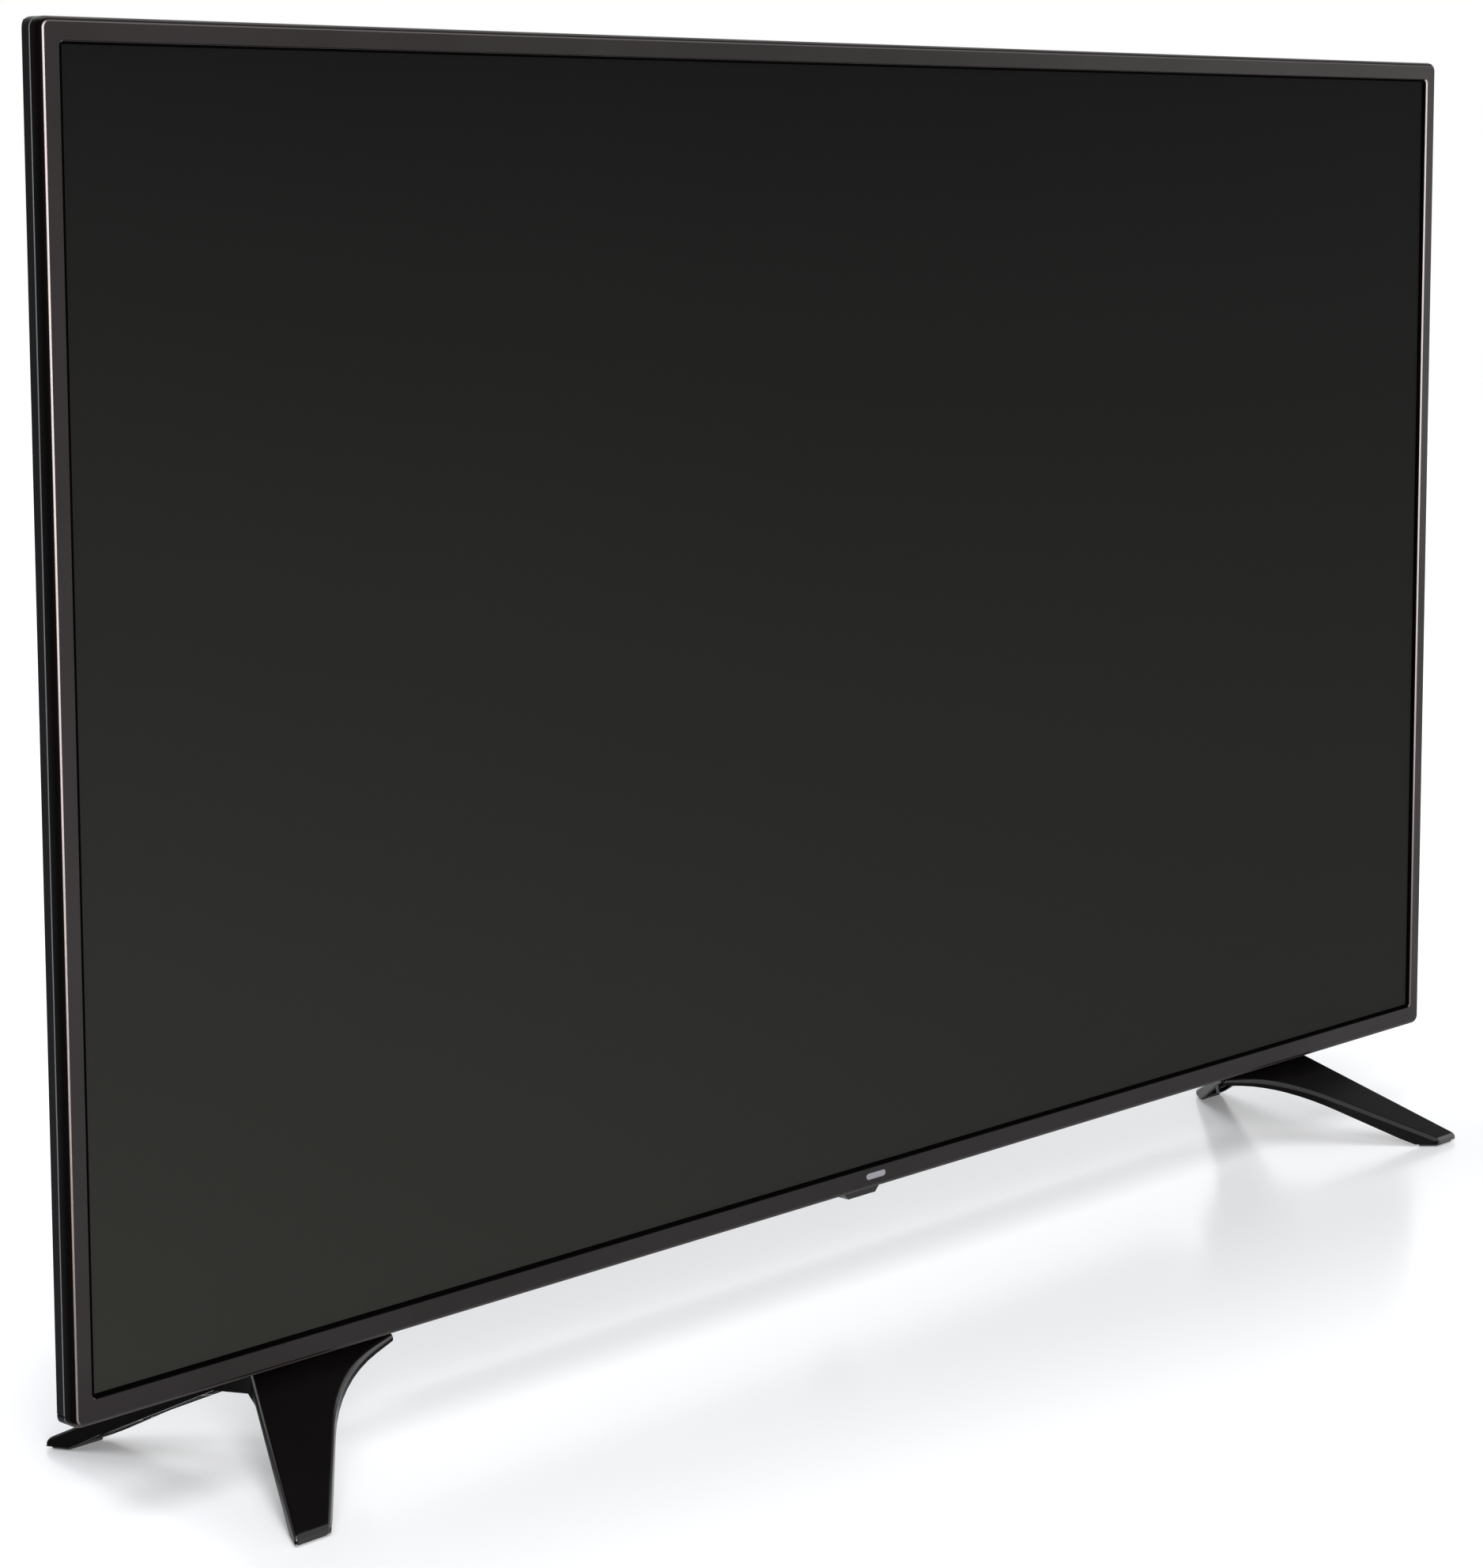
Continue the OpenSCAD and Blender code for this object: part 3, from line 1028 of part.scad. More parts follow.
module rear_cover() color("#15161a") difference() {
    union() {
        difference() {
            cover_body(0);
            cover_body(cover_wall);
        }
        intersection() {
            cover_body(0);
            union() {
                recesses(cover_wall);
                for (p = screw_spots) rod(p[0], p[1], cover_boss_r, boss_end, plateau_depth);
            }
        }
    }
    recesses(0);
    for (i = [0, 1]) port_cut(video, side_ports[i]);
    port_cut(data, side_ports[2]);
    mirror([1, 0, 0]) plate_room(over);
    rear_cut(rear_x[0], lan);
    rear_cut(rear_x[1], optical);
    rear_hole(rear_x[2], av_r);
    for (x = aerial_x) rear_hole(x, aerial_r);
    for (p = screw_spots) {
        rod(p[0], p[1], screw_head_r + head_room, boss_seat, plateau_depth + over);
        rod(p[0], p[1], screw_r + 3 * screw_gap, boss_end - over, plateau_depth);
    }
    for (p = mount_spots) rod(p[0], p[1], mount_boss_r - mount_well, lid_d - over, body_depth + over);
    both_sides() block(post_x[0] - cut_gap, post_x[1] + cut_gap, foot_gap - post_d / 2 - cut_gap,
        foot_gap + post_d / 2 + cut_gap, z_bot - over, bracket_z);
    slab(tab_back - cut_gap, tab_back + tab_d + cut_gap) tab_outline(cut_gap);
    vents();
}
module inlet_plate() color("#15161a") mirror([1, 0, 0]) difference() {
    plate_room(0);
    port_cut(inlet, ac_z);
}
module cover_screws() color("#2a2a2c") for (p = screw_spots)
    screw(p[0], p[1], screw_r, screw_head_r, screw_head_t, boss_seat,
        boss_seat - back_d - 2 * thread_floor);

front_bezel();
front_badge();
panel_gasket();
lcd_panel();
panel_films();
source_boards();
guide_frame();
prism_sheet();
diffuser_sheet();
diffuser_plate();
diffuser_supports();
reflector_sheet();
led_bars();
led_lenses();
rear_chassis();
mount_bosses();
cover_standoffs();
main_board();
main_heatsink();
main_chips();
tuner_can();
video_ports();
data_port();
lan_port();
optical_port();
av_jack();
aerial_sockets();
timing_board();
panel_ribbon();
source_ribbons();
power_board();
power_transformer();
power_capacitors();
power_heatsinks();
mains_choke();
ac_inlet();
power_harness();
led_harness();
speaker_leads();
radio_module();
board_screws();
speaker_boxes();
speaker_frames();
speaker_magnets();
speaker_cone_left();
speaker_cone_right();
control_tab();
control_board();
tact_switch();
joystick_gimbal();
joystick_stem();
joystick_cap();
stand_brackets();
foot_left();
foot_right();
foot_pads();
stand_screws();
rear_cover();
inlet_plate();
cover_screws();
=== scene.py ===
import json
from math import cos, pi, radians, sin

import bmesh
import bpy
from mathutils import Matrix, Vector


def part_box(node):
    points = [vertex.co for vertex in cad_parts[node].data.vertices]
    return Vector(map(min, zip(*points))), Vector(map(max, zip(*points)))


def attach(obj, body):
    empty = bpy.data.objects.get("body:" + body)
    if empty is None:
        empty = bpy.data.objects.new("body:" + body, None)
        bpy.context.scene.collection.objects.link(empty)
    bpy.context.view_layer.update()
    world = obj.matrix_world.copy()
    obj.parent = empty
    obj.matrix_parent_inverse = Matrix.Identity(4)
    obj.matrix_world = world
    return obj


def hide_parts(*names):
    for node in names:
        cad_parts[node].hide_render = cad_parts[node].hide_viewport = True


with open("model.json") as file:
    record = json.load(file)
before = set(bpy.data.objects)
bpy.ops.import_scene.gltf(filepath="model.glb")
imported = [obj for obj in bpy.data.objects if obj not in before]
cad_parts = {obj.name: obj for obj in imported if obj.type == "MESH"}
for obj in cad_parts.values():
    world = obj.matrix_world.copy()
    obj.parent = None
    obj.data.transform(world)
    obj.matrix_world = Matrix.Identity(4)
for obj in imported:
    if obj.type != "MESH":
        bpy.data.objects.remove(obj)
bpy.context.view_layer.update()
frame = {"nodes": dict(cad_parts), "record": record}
nodes = frame["nodes"]
scene = bpy.context.scene
mm = 0.001
print("frame loaded:", len(nodes), "nodes")

# camera, solved from the bezel's edges
cameraSet = {
    "place": (-1.5168, -1.36665, 0.62895),
    "pan": -46.648, "tilt": -6.671, "roll": -0.143,     # degrees
    "focal": 4635.4,                                    # pixels
    "image": (1876, 1983), "centre": (963.24, 755.96),  # pixels
    "sensor": 36.0,                                     # mm
    "clip": (0.05, 60),                                 # m
}


def placeCamera(look):
    data = bpy.data.cameras.new("photoCamera")
    camera = bpy.data.objects.new("photoCamera", data)
    scene.collection.objects.link(camera)
    pan, tilt, roll = (radians(look[key]) for key in ("pan", "tilt", "roll"))
    turn = Matrix(((cos(roll), 0, sin(roll)), (0, 1, 0), (-sin(roll), 0, cos(roll))))
    turn = turn @ Matrix(((1, 0, 0), (0, cos(tilt), sin(tilt)), (0, -sin(tilt), cos(tilt))))
    turn = turn @ Matrix(((cos(pan), sin(pan), 0), (-sin(pan), cos(pan), 0), (0, 0, 1)))
    right, ahead, up = turn[0], turn[1], turn[2]
    axes = Matrix((right, up, -ahead)).transposed()
    camera.matrix_world = Matrix.Translation(look["place"]) @ axes.to_4x4()
    wide, high = look["image"]
    longSide = max(wide, high)
    data.sensor_width = look["sensor"]
    data.lens = look["focal"] / longSide * look["sensor"]
    data.shift_x = (wide / 2 - look["centre"][0]) / longSide
    data.shift_y = (look["centre"][1] - high / 2) / longSide
    data.clip_start, data.clip_end = look["clip"]
    scene.camera = camera


placeCamera(cameraSet)
scene.view_settings.view_transform = "Standard"
print("camera placed")


# node helpers
def newMaterial(name):
    material = bpy.data.materials.new(name)
    material.use_nodes = True
    return material, material.node_tree, material.node_tree.nodes["Principled BSDF"]


def addNode(tree, kind, inputs=None, **settings):
    node = tree.nodes.new(kind)
    for key, value in settings.items():
        setattr(node, key, value)
    for key, value in (inputs or {}).items():
        if isinstance(value, bpy.types.NodeSocket):
            tree.links.new(value, node.inputs[key])
        else:
            node.inputs[key].default_value = value
    return node


def mathNode(tree, operation, first, second=0.0, clamp=False):
    node = addNode(tree, "ShaderNodeMath", {0: first, 1: second}, operation=operation, use_clamp=clamp)
    return node.outputs[0]


def mixTone(tree, factor, first, second):
    node = addNode(tree, "ShaderNodeMix", data_type="RGBA")
    for index, value in ((0, factor), (6, first), (7, second)):  # sockets of the colour form
        if isinstance(value, bpy.types.NodeSocket):
            tree.links.new(value, node.inputs[index])
        else:
            node.inputs[index].default_value = (*value, 1) if index else value
    return node.outputs[2]


def remap(tree, value, low, high):
    return addNode(tree, "ShaderNodeMapRange", {"Value": value, "To Min": low, "To Max": high}).outputs[0]


def ramp(tree, value, start, end, first=0.0, last=1.0, curve="SMOOTHSTEP"):
    node = addNode(tree, "ShaderNodeMapRange", {
        "Value": value, "From Min": start, "From Max": end, "To Min": first, "To Max": last},
        interpolation_type=curve)
    return node.outputs[0]


def bumpNode(tree, height, depth):
    return addNode(tree, "ShaderNodeBump", {"Height": height, "Distance": depth, "Strength": 1.0})


def objectPlace(tree):
    return addNode(tree, "ShaderNodeTexCoord").outputs["Object"]


def axesOf(tree, vector):
    return addNode(tree, "ShaderNodeSeparateXYZ", {0: vector}).outputs


def surfaceNormal(tree):
    return addNode(tree, "ShaderNodeNewGeometry").outputs["Normal"]


def seenRays(tree):
    path = addNode(tree, "ShaderNodeLightPath")
    shown = mathNode(tree, "MAXIMUM", path.outputs["Is Camera Ray"], path.outputs["Is Glossy Ray"])
    return mathNode(tree, "MAXIMUM", shown, path.outputs["Is Transmission Ray"])


def feedShader(tree, shader, colour, rough, bump):
    for key, socket in (("Base Color", colour), ("Roughness", rough), ("Normal", bump.outputs[0])):
        tree.links.new(socket, shader.inputs[key])


# plain studio: pale floor, white backdrop, soft lamps
studio = {
    "ambient": (0.90, 0.95, 1.0), "ambientLevel": 0.36,
    "floorTone": (0.82, 0.83, 0.85), "floorRough": 0.20, "floorSize": 14.0,
    "setHalf": 0.46,                                       # half the width that the set takes up, m
    "floorLift": (0.15, 0.40), "liftReach": (0.10, 0.40),  # glow near the set and far from it, and how far, m
    "skyFrom": (-0.22, -0.22, 1.0), "skyPower": 1.4, "skySpread": 45,
    "lamps": [  # name, place, aim, width, height, watts, colour
        ("keyBox", (-1.72, -2.15, 1.0), (-0.2, 0, 0.5), 0.6, 1.9, 85, (1.0, 0.97, 0.95)),
        ("fillBox", (2.3, -1.2, 0.75), (0.3, 0, 0.4), 0.9, 1.2, 3, (1.0, 0.92, 0.90)),
        ("backBox", (0.6, 2.4, 2.2), (0, 0, 0.35), 1.8, 1.8, 24, (0.97, 0.98, 1.0)),
    ],
}


def addLamp(name, data, place, aim):
    lamp = bpy.data.objects.new(name, data)
    lamp.location = place
    lamp.rotation_euler = (Vector(aim) - Vector(place)).to_track_quat("-Z", "Y").to_euler()
    lamp.visible_camera = False
    scene.collection.objects.link(lamp)


def buildFloor(look):
    half = look["floorSize"] / 2
    mesh = bpy.data.meshes.new("studioFloor")
    corners = [(-half, -half, 0), (half, -half, 0), (half, half, 0), (-half, half, 0)]
    mesh.from_pydata(corners, [], [(0, 1, 2, 3)])
    floor = bpy.data.objects.new("studioFloor", mesh)
    scene.collection.objects.link(floor)
    material, tree, shader = newMaterial("studioFloor")
    shader.inputs["Base Color"].default_value = (*look["floorTone"], 1)
    shader.inputs["Roughness"].default_value = look["floorRough"]
    place = axesOf(tree, objectPlace(tree))
    past = mathNode(tree, "SUBTRACT", mathNode(tree, "ABSOLUTE", place["X"]), look["setHalf"])
    beside = mathNode(tree, "MAXIMUM", past, 0.0)
    spot = addNode(tree, "ShaderNodeCombineXYZ", {"X": beside, "Y": place["Y"]})
    away = addNode(tree, "ShaderNodeVectorMath", {0: spot.outputs[0]}, operation="LENGTH").outputs["Value"]
    lift = ramp(tree, away, *look["liftReach"], *look["floorLift"])
    strength = mathNode(tree, "MULTIPLY", seenRays(tree), lift)
    shader.inputs["Emission Color"].default_value = (1, 1, 1, 1)
    tree.links.new(strength, shader.inputs["Emission Strength"])
    mesh.materials.append(material)


def buildStudio(look):
    world = bpy.data.worlds.new("studioWorld")
    scene.world = world
    world.use_nodes = True
    tree = world.node_tree
    tree.nodes.clear()
    ambient = {"Color": (*look["ambient"], 1), "Strength": look["ambientLevel"]}
    soft = addNode(tree, "ShaderNodeBackground", ambient)
    white = addNode(tree, "ShaderNodeBackground", {"Color": (1, 1, 1, 1), "Strength": 1.0})
    mixed = addNode(tree, "ShaderNodeMixShader", {0: seenRays(tree), 1: soft.outputs[0], 2: white.outputs[0]})
    addNode(tree, "ShaderNodeOutputWorld", {"Surface": mixed.outputs[0]})
    buildFloor(look)
    sky = bpy.data.lights.new("skyLight", "SUN")
    sky.energy, sky.angle = look["skyPower"], radians(look["skySpread"])
    addLamp("skyLight", sky, look["skyFrom"], (0, 0, 0))
    for name, place, aim, width, height, watts, colour in look["lamps"]:
        data = bpy.data.lights.new(name, "AREA")
        data.shape, data.size, data.size_y = "RECTANGLE", width, height
        data.energy, data.color = watts, colour
        addLamp(name, data, place, aim)


buildStudio(studio)
print("studio built")

# effects that several finishes share
effects = {
    "grain": {"fine": 900.0, "coarse": 6.0, "cloud": (-0.6, 1.6)},
    "wear": {"width": 0.0006, "scale": 60.0, "gain": 6.0},
    "dust": {"amount": 0.1, "scale": 40.0, "turn": 0.35, "gain": 1.5},  # lies on faces that turn up more
    "streaks": {"across": 900.0, "along": 12.0},
}


def newGroup(name, inputs, outputs):
    tree = bpy.data.node_groups.new(name, "ShaderNodeTree")
    for label, value in inputs.items():
        socket = tree.interface.new_socket(label, in_out="INPUT", socket_type="NodeSocketFloat")
        socket.default_value = value
    for label in outputs:
        tree.interface.new_socket(label, in_out="OUTPUT", socket_type="NodeSocketFloat")
    return tree, addNode(tree, "NodeGroupInput").outputs, addNode(tree, "NodeGroupOutput")


def noiseNode(tree, where, scale, **inputs):
    return addNode(tree, "ShaderNodeTexNoise", {"Vector": where, "Scale": scale, **inputs}).outputs[0]


def buildGrain(look):
    inputs = {"Fine": look["fine"], "Coarse": look["coarse"]}
    tree, given, result = newGroup("mouldGrain", inputs, ("Grain", "Cloud"))
    where = objectPlace(tree)
    fine = noiseNode(tree, where, given["Fine"], Detail=3.0, Roughness=0.6)
    cloud = noiseNode(tree, where, given["Coarse"], Detail=4.0, Roughness=0.55)
    tree.links.new(fine, result.inputs["Grain"])
    tree.links.new(remap(tree, cloud, *look["cloud"]), result.inputs["Cloud"])
    return tree


def buildWear(look):
    inputs = {"Width": look["width"], "Scale": look["scale"]}
    tree, given, result = newGroup("edgeWear", inputs, ("Mask",))
    where = objectPlace(tree)
    flat = surfaceNormal(tree)
    eased = addNode(tree, "ShaderNodeBevel", {"Radius": given["Width"]}, samples=4)
    match = addNode(tree, "ShaderNodeVectorMath", {0: flat, 1: eased.outputs[0]}, operation="DOT_PRODUCT")
    turned = mathNode(tree, "SUBTRACT", 1.0, match.outputs["Value"])
    edge = mathNode(tree, "MULTIPLY", turned, look["gain"], True)
    patch = noiseNode(tree, where, given["Scale"], Detail=5.0)
    tree.links.new(mathNode(tree, "MULTIPLY", edge, patch), result.inputs["Mask"])
    return tree


def buildDust(look):
    inputs = {"Amount": look["amount"], "Scale": look["scale"]}
    tree, given, result = newGroup("dustFall", inputs, ("Mask",))
    where = objectPlace(tree)
    upward = axesOf(tree, surfaceNormal(tree))["Z"]
    facing = mathNode(tree, "MULTIPLY", mathNode(tree, "SUBTRACT", upward, look["turn"]), look["gain"], True)
    specks = noiseNode(tree, where, given["Scale"], Detail=6.0, Roughness=0.7)
    layer = mathNode(tree, "MULTIPLY", facing, mathNode(tree, "MULTIPLY", specks, given["Amount"]))
    tree.links.new(layer, result.inputs["Mask"])
    return tree


def buildStreaks(look):
    inputs = {"Across": look["across"], "Along": look["along"]}
    tree, given, result = newGroup("drawnLines", inputs, ("Line",))
    where = objectPlace(tree)
    stretch = {"X": given["Along"], "Y": given["Across"], "Z": given["Across"]}
    pull = addNode(tree, "ShaderNodeCombineXYZ", stretch)
    spread = addNode(tree, "ShaderNodeVectorMath", {0: where, 1: pull.outputs[0]}, operation="MULTIPLY")
    lines = noiseNode(tree, spread.outputs[0], 1.0, Detail=3.0)
    tree.links.new(lines, result.inputs["Line"])
    return tree


groups = {
    "grain": buildGrain(effects["grain"]), "wear": buildWear(effects["wear"]),
    "dust": buildDust(effects["dust"]), "streaks": buildStreaks(effects["streaks"]),
}


def useGroup(tree, key, **values):
    return addNode(tree, "ShaderNodeGroup", values, node_tree=groups[key]).outputs


# finishes: tone and shade, roughness range, grain and cloud scale, bump depth in metres
finishes = {
    "badge": {"tone": (0.31, 0.31, 0.33), "shade": (0.27, 0.27, 0.29),
              "rough": (0.28, 0.40), "metal": 1.0, "streaks": (3000, 40), "bump": 0.000004},
    "foam": {"tone": (0.0004, 0.0004, 0.0004), "shade": (0.0010, 0.0010, 0.0010),
             "rough": (0.85, 0.98), "grain": 3500, "bump": 0.00004, "specular": 0.01},
    "film": {"tone": (0.30, 0.13, 0.04), "shade": (0.36, 0.17, 0.06),
             "rough": (0.25, 0.4), "streaks": (700, 20), "bump": 0.000006},
    "inner_plastic": {"tone": (0.012, 0.012, 0.012), "shade": (0.018, 0.018, 0.018),
                      "rough": (0.45, 0.62), "grain": 1800, "bump": 0.00002},
    "optical_film": {"tone": (0.83, 0.84, 0.84), "shade": (0.88, 0.89, 0.89),
                     "rough": (0.35, 0.5), "grain": 2400, "bump": 0.00001},
    "reflector": {"tone": (0.90, 0.90, 0.90), "shade": (0.94, 0.94, 0.93),
                  "rough": (0.6, 0.75), "grain": 1200, "bump": 0.00002},
    "led_strip": {"tone": (0.72, 0.73, 0.70), "shade": (0.78, 0.79, 0.76),
                  "rough": (0.35, 0.5), "grain": 1500, "bump": 0.00001},
    "lens": {"tone": (0.82, 0.87, 0.90), "shade": (0.88, 0.92, 0.94),
             "rough": (0.05, 0.12), "grain": 600, "bump": 0.000003},
    "steel": {"tone": (0.42, 0.43, 0.44), "shade": (0.50, 0.51, 0.52),
              "rough": (0.3, 0.46), "metal": 1.0, "grain": 500, "cloud": 90, "bump": 0.000008},
    "dark_metal": {"tone": (0.035, 0.035, 0.04), "shade": (0.05, 0.05, 0.055),
                   "rough": (0.35, 0.5), "metal": 0.6, "streaks": (1500, 30), "bump": 0.000006},
    "aluminium": {"tone": (0.58, 0.58, 0.60), "shade": (0.64, 0.64, 0.66),
                  "rough": (0.28, 0.42), "metal": 1.0, "streaks": (1800, 25), "bump": 0.000006},
    "chip": {"tone": (0.018, 0.018, 0.02), "shade": (0.026, 0.026, 0.028),
             "rough": (0.5, 0.66), "grain": 2600, "bump": 0.000015},
    "port_metal": {"tone": (0.46, 0.46, 0.48), "shade": (0.54, 0.54, 0.56),
                   "rough": (0.22, 0.36), "metal": 1.0, "streaks": (2200, 60), "bump": 0.000005},
    "brass": {"tone": (0.58, 0.43, 0.12), "shade": (0.66, 0.50, 0.16),
              "rough": (0.22, 0.36), "metal": 1.0, "streaks": (2000, 80), "bump": 0.000005},
    "ribbon": {"tone": (0.70, 0.70, 0.66), "shade": (0.76, 0.76, 0.73),
               "rough": (0.4, 0.52), "streaks": (2400, 8), "bump": 0.00003},
    "copper": {"tone": (0.52, 0.22, 0.08), "shade": (0.62, 0.29, 0.12),
               "rough": (0.28, 0.42), "metal": 1.0, "streaks": (1600, 1600), "bump": 0.00005},
    "wire_red": {"tone": (0.28, 0.018, 0.018), "shade": (0.36, 0.03, 0.03),
                 "rough": (0.4, 0.55), "streaks": (900, 6), "bump": 0.0002},
    "wire_dark": {"tone": (0.018, 0.018, 0.018), "shade": (0.028, 0.028, 0.028),
                  "rough": (0.4, 0.55), "streaks": (900, 6), "bump": 0.0002},
    "screw_steel": {"tone": (0.52, 0.52, 0.54), "shade": (0.60, 0.60, 0.62),
                    "rough": (0.25, 0.4), "metal": 1.0, "grain": 1500, "bump": 0.000006},
    "screw_black": {"tone": (0.015, 0.015, 0.016), "shade": (0.026, 0.026, 0.028),
                    "rough": (0.3, 0.45), "metal": 0.5, "grain": 1800, "bump": 0.000008, "wear": 0.5},
    "cone": {"tone": (0.028, 0.028, 0.03), "shade": (0.045, 0.045, 0.047),
             "rough": (0.7, 0.9), "grain": 1400, "bump": 0.00006},
    "tab": {"tone": (0.0125, 0.0105, 0.0110), "shade": (0.0160, 0.0138, 0.0142),
            "rough": (0.16, 0.26), "grain": 1400, "bump": 0.000004, "wear": 0.2, "specular": 0.2},
    "foot": {"tone": (0.0020, 0.0016, 0.0017), "shade": (0.0032, 0.0026, 0.0028),
             "rough": (0.20, 0.30), "grain": 900, "bump": 0.000004,
             "wear": 0.1, "dust": 0.004, "specular": 0.03, "filletCoat": 0.9, "coatRough": 0.16,
             "tipReach": (0.086, 0.092), "outward": (-0.016, -0.004),                     # m
             "topTurn": (0.80, 0.66), "lowTurn": (0.06, 0.24), "endTurn": (0.90, 0.97)},  # of the normal
    "pad": {"tone": (0.018, 0.018, 0.018), "shade": (0.028, 0.028, 0.028),
            "rough": (0.75, 0.92), "grain": 1600, "bump": 0.00005},
    # cover: the dark tone left on the rim beside the bezel is painted shade and the back turns lighter; the
    # pale seam line is a painted highlight
    "cover": {"tone": (0.0026, 0.0029, 0.0038), "shade": (0.0040, 0.0043, 0.0054),
              "rough": (0.40, 0.54), "grain": 1500, "bump": 0.00003,
              # on the cover the paler rubbed edges are partly a painted highlight
              "wear": 0.5, "dust": 0.015, "specular": 0.035, "eased": 0.0006,
              "seamLine": 0.0005, "seamFade": 1.3, "seamHighlight": (0.115, 0.115, 0.120),
              "behind": (0.0135, 0.022), "backTone": (0.0150, 0.0155, 0.0165),  # depths behind the seam, m
              "backCoat": 0.30, "coatRough": 0.42},
}
plainFinish = {  # where a finish gives no value of its own
    "grain": 1200, "cloud": 9, "metal": 0.0, "specular": 0.5,
    "rubGain": 3, "rubLift": 0.02, "dustTone": (0.30, 0.29, 0.28), "dustRough": 0.8,
}
materials = {}


# pale front edge along the seam as a painted highlight; the rim keeps the dark tone as painted shade, and the
# back is lighter with some gloss
def dressCover(tree, shader, look, colour, cloud):
    depth = axesOf(tree, objectPlace(tree))["Y"]
    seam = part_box("rear_cover")[0].y
    width = look["seamLine"]
    seamHighlightMask = ramp(tree, depth, seam + width, seam + look["seamFade"] * width, 1.0, 0.0)
    colour = mixTone(tree, seamHighlightMask, colour, look["seamHighlight"])
    behind = ramp(tree, depth, *(seam + reach for reach in look["behind"]))
    colour = mixTone(tree, behind, colour, mixTone(tree, cloud, look["shade"], look["backTone"]))
    tree.links.new(mathNode(tree, "MULTIPLY", behind, look["backCoat"]), shader.inputs["Coat Weight"])
    shader.inputs["Coat Roughness"].default_value = look["coatRough"]
    return colour


# gloss of the fillets and of the tips' ends
def dressFoot(tree, shader, look):
    place = axesOf(tree, objectPlace(tree))
    tips = ramp(tree, mathNode(tree, "ABSOLUTE", place["Y"]), *look["tipReach"])
    facing = axesOf(tree, surfaceNormal(tree))
    upper = ramp(tree, facing["Z"], *look["topTurn"])
    lower = ramp(tree, facing["Z"], *look["lowTurn"])
    square = ramp(tree, mathNode(tree, "ABSOLUTE", facing["Y"]), *look["endTurn"])
    ends = mathNode(tree, "MULTIPLY", tips, square)
    gloss = mathNode(tree, "MULTIPLY", upper, mathNode(tree, "MAXIMUM", lower, ends))
    outward = ramp(tree, mathNode(tree, "MULTIPLY", facing["Y"], place["Y"]), *look["outward"])
    gloss = mathNode(tree, "MULTIPLY", gloss, outward)
    tree.links.new(mathNode(tree, "MULTIPLY", gloss, look["filletCoat"]), shader.inputs["Coat Weight"])
    shader.inputs["Coat Roughness"].default_value = look["coatRough"]


def buildFinish(name, look):
    look = {**plainFinish, **look}
    material, tree, shader = newMaterial(name)
    field = useGroup(tree, "grain", Fine=float(look["grain"]), Coarse=float(look["cloud"]))
    height = field["Grain"]
    if "streaks" in look:
        across, along = look["streaks"]
        height = useGroup(tree, "streaks", Across=float(across), Along=float(along))["Line"]
    colour = mixTone(tree, field["Cloud"], look["tone"], look["shade"])
    mottle = mathNode(tree, "MULTIPLY", mathNode(tree, "ADD", field["Cloud"], height), 0.5)
    rough = remap(tree, mottle, *look["rough"])
    if "wear" in look:  # rubbed edges are paler; on the cover they are partly a painted highlight
        rubbed = mathNode(tree, "MULTIPLY", useGroup(tree, "wear")["Mask"], look["wear"], True)
        pale = tuple(min(1.0, channel * look["rubGain"] + look["rubLift"]) for channel in look["shade"])
        colour = mixTone(tree, rubbed, colour, pale)
    if "dust" in look:
        veil = useGroup(tree, "dust", Amount=look["dust"])["Mask"]
        colour = mixTone(tree, veil, colour, look["dustTone"])
        rough = mathNode(tree, "ADD", rough, mathNode(tree, "MULTIPLY", veil, look["dustRough"]), True)
    if "seamLine" in look:
        colour = dressCover(tree, shader, look, colour, field["Cloud"])
    if "filletCoat" in look:
        dressFoot(tree, shader, look)
    bump = bumpNode(tree, height, look["bump"])
    if "eased" in look:  # edges rounded in the shading alone
        eased = addNode(tree, "ShaderNodeBevel", {"Radius": look["eased"]}, samples=6)
        tree.links.new(eased.outputs[0], bump.inputs["Normal"])
    feedShader(tree, shader, colour, rough, bump)
    shader.inputs["Metallic"].default_value = look["metal"]
    shader.inputs["Specular IOR Level"].default_value = look["specular"]
    materials[name] = material


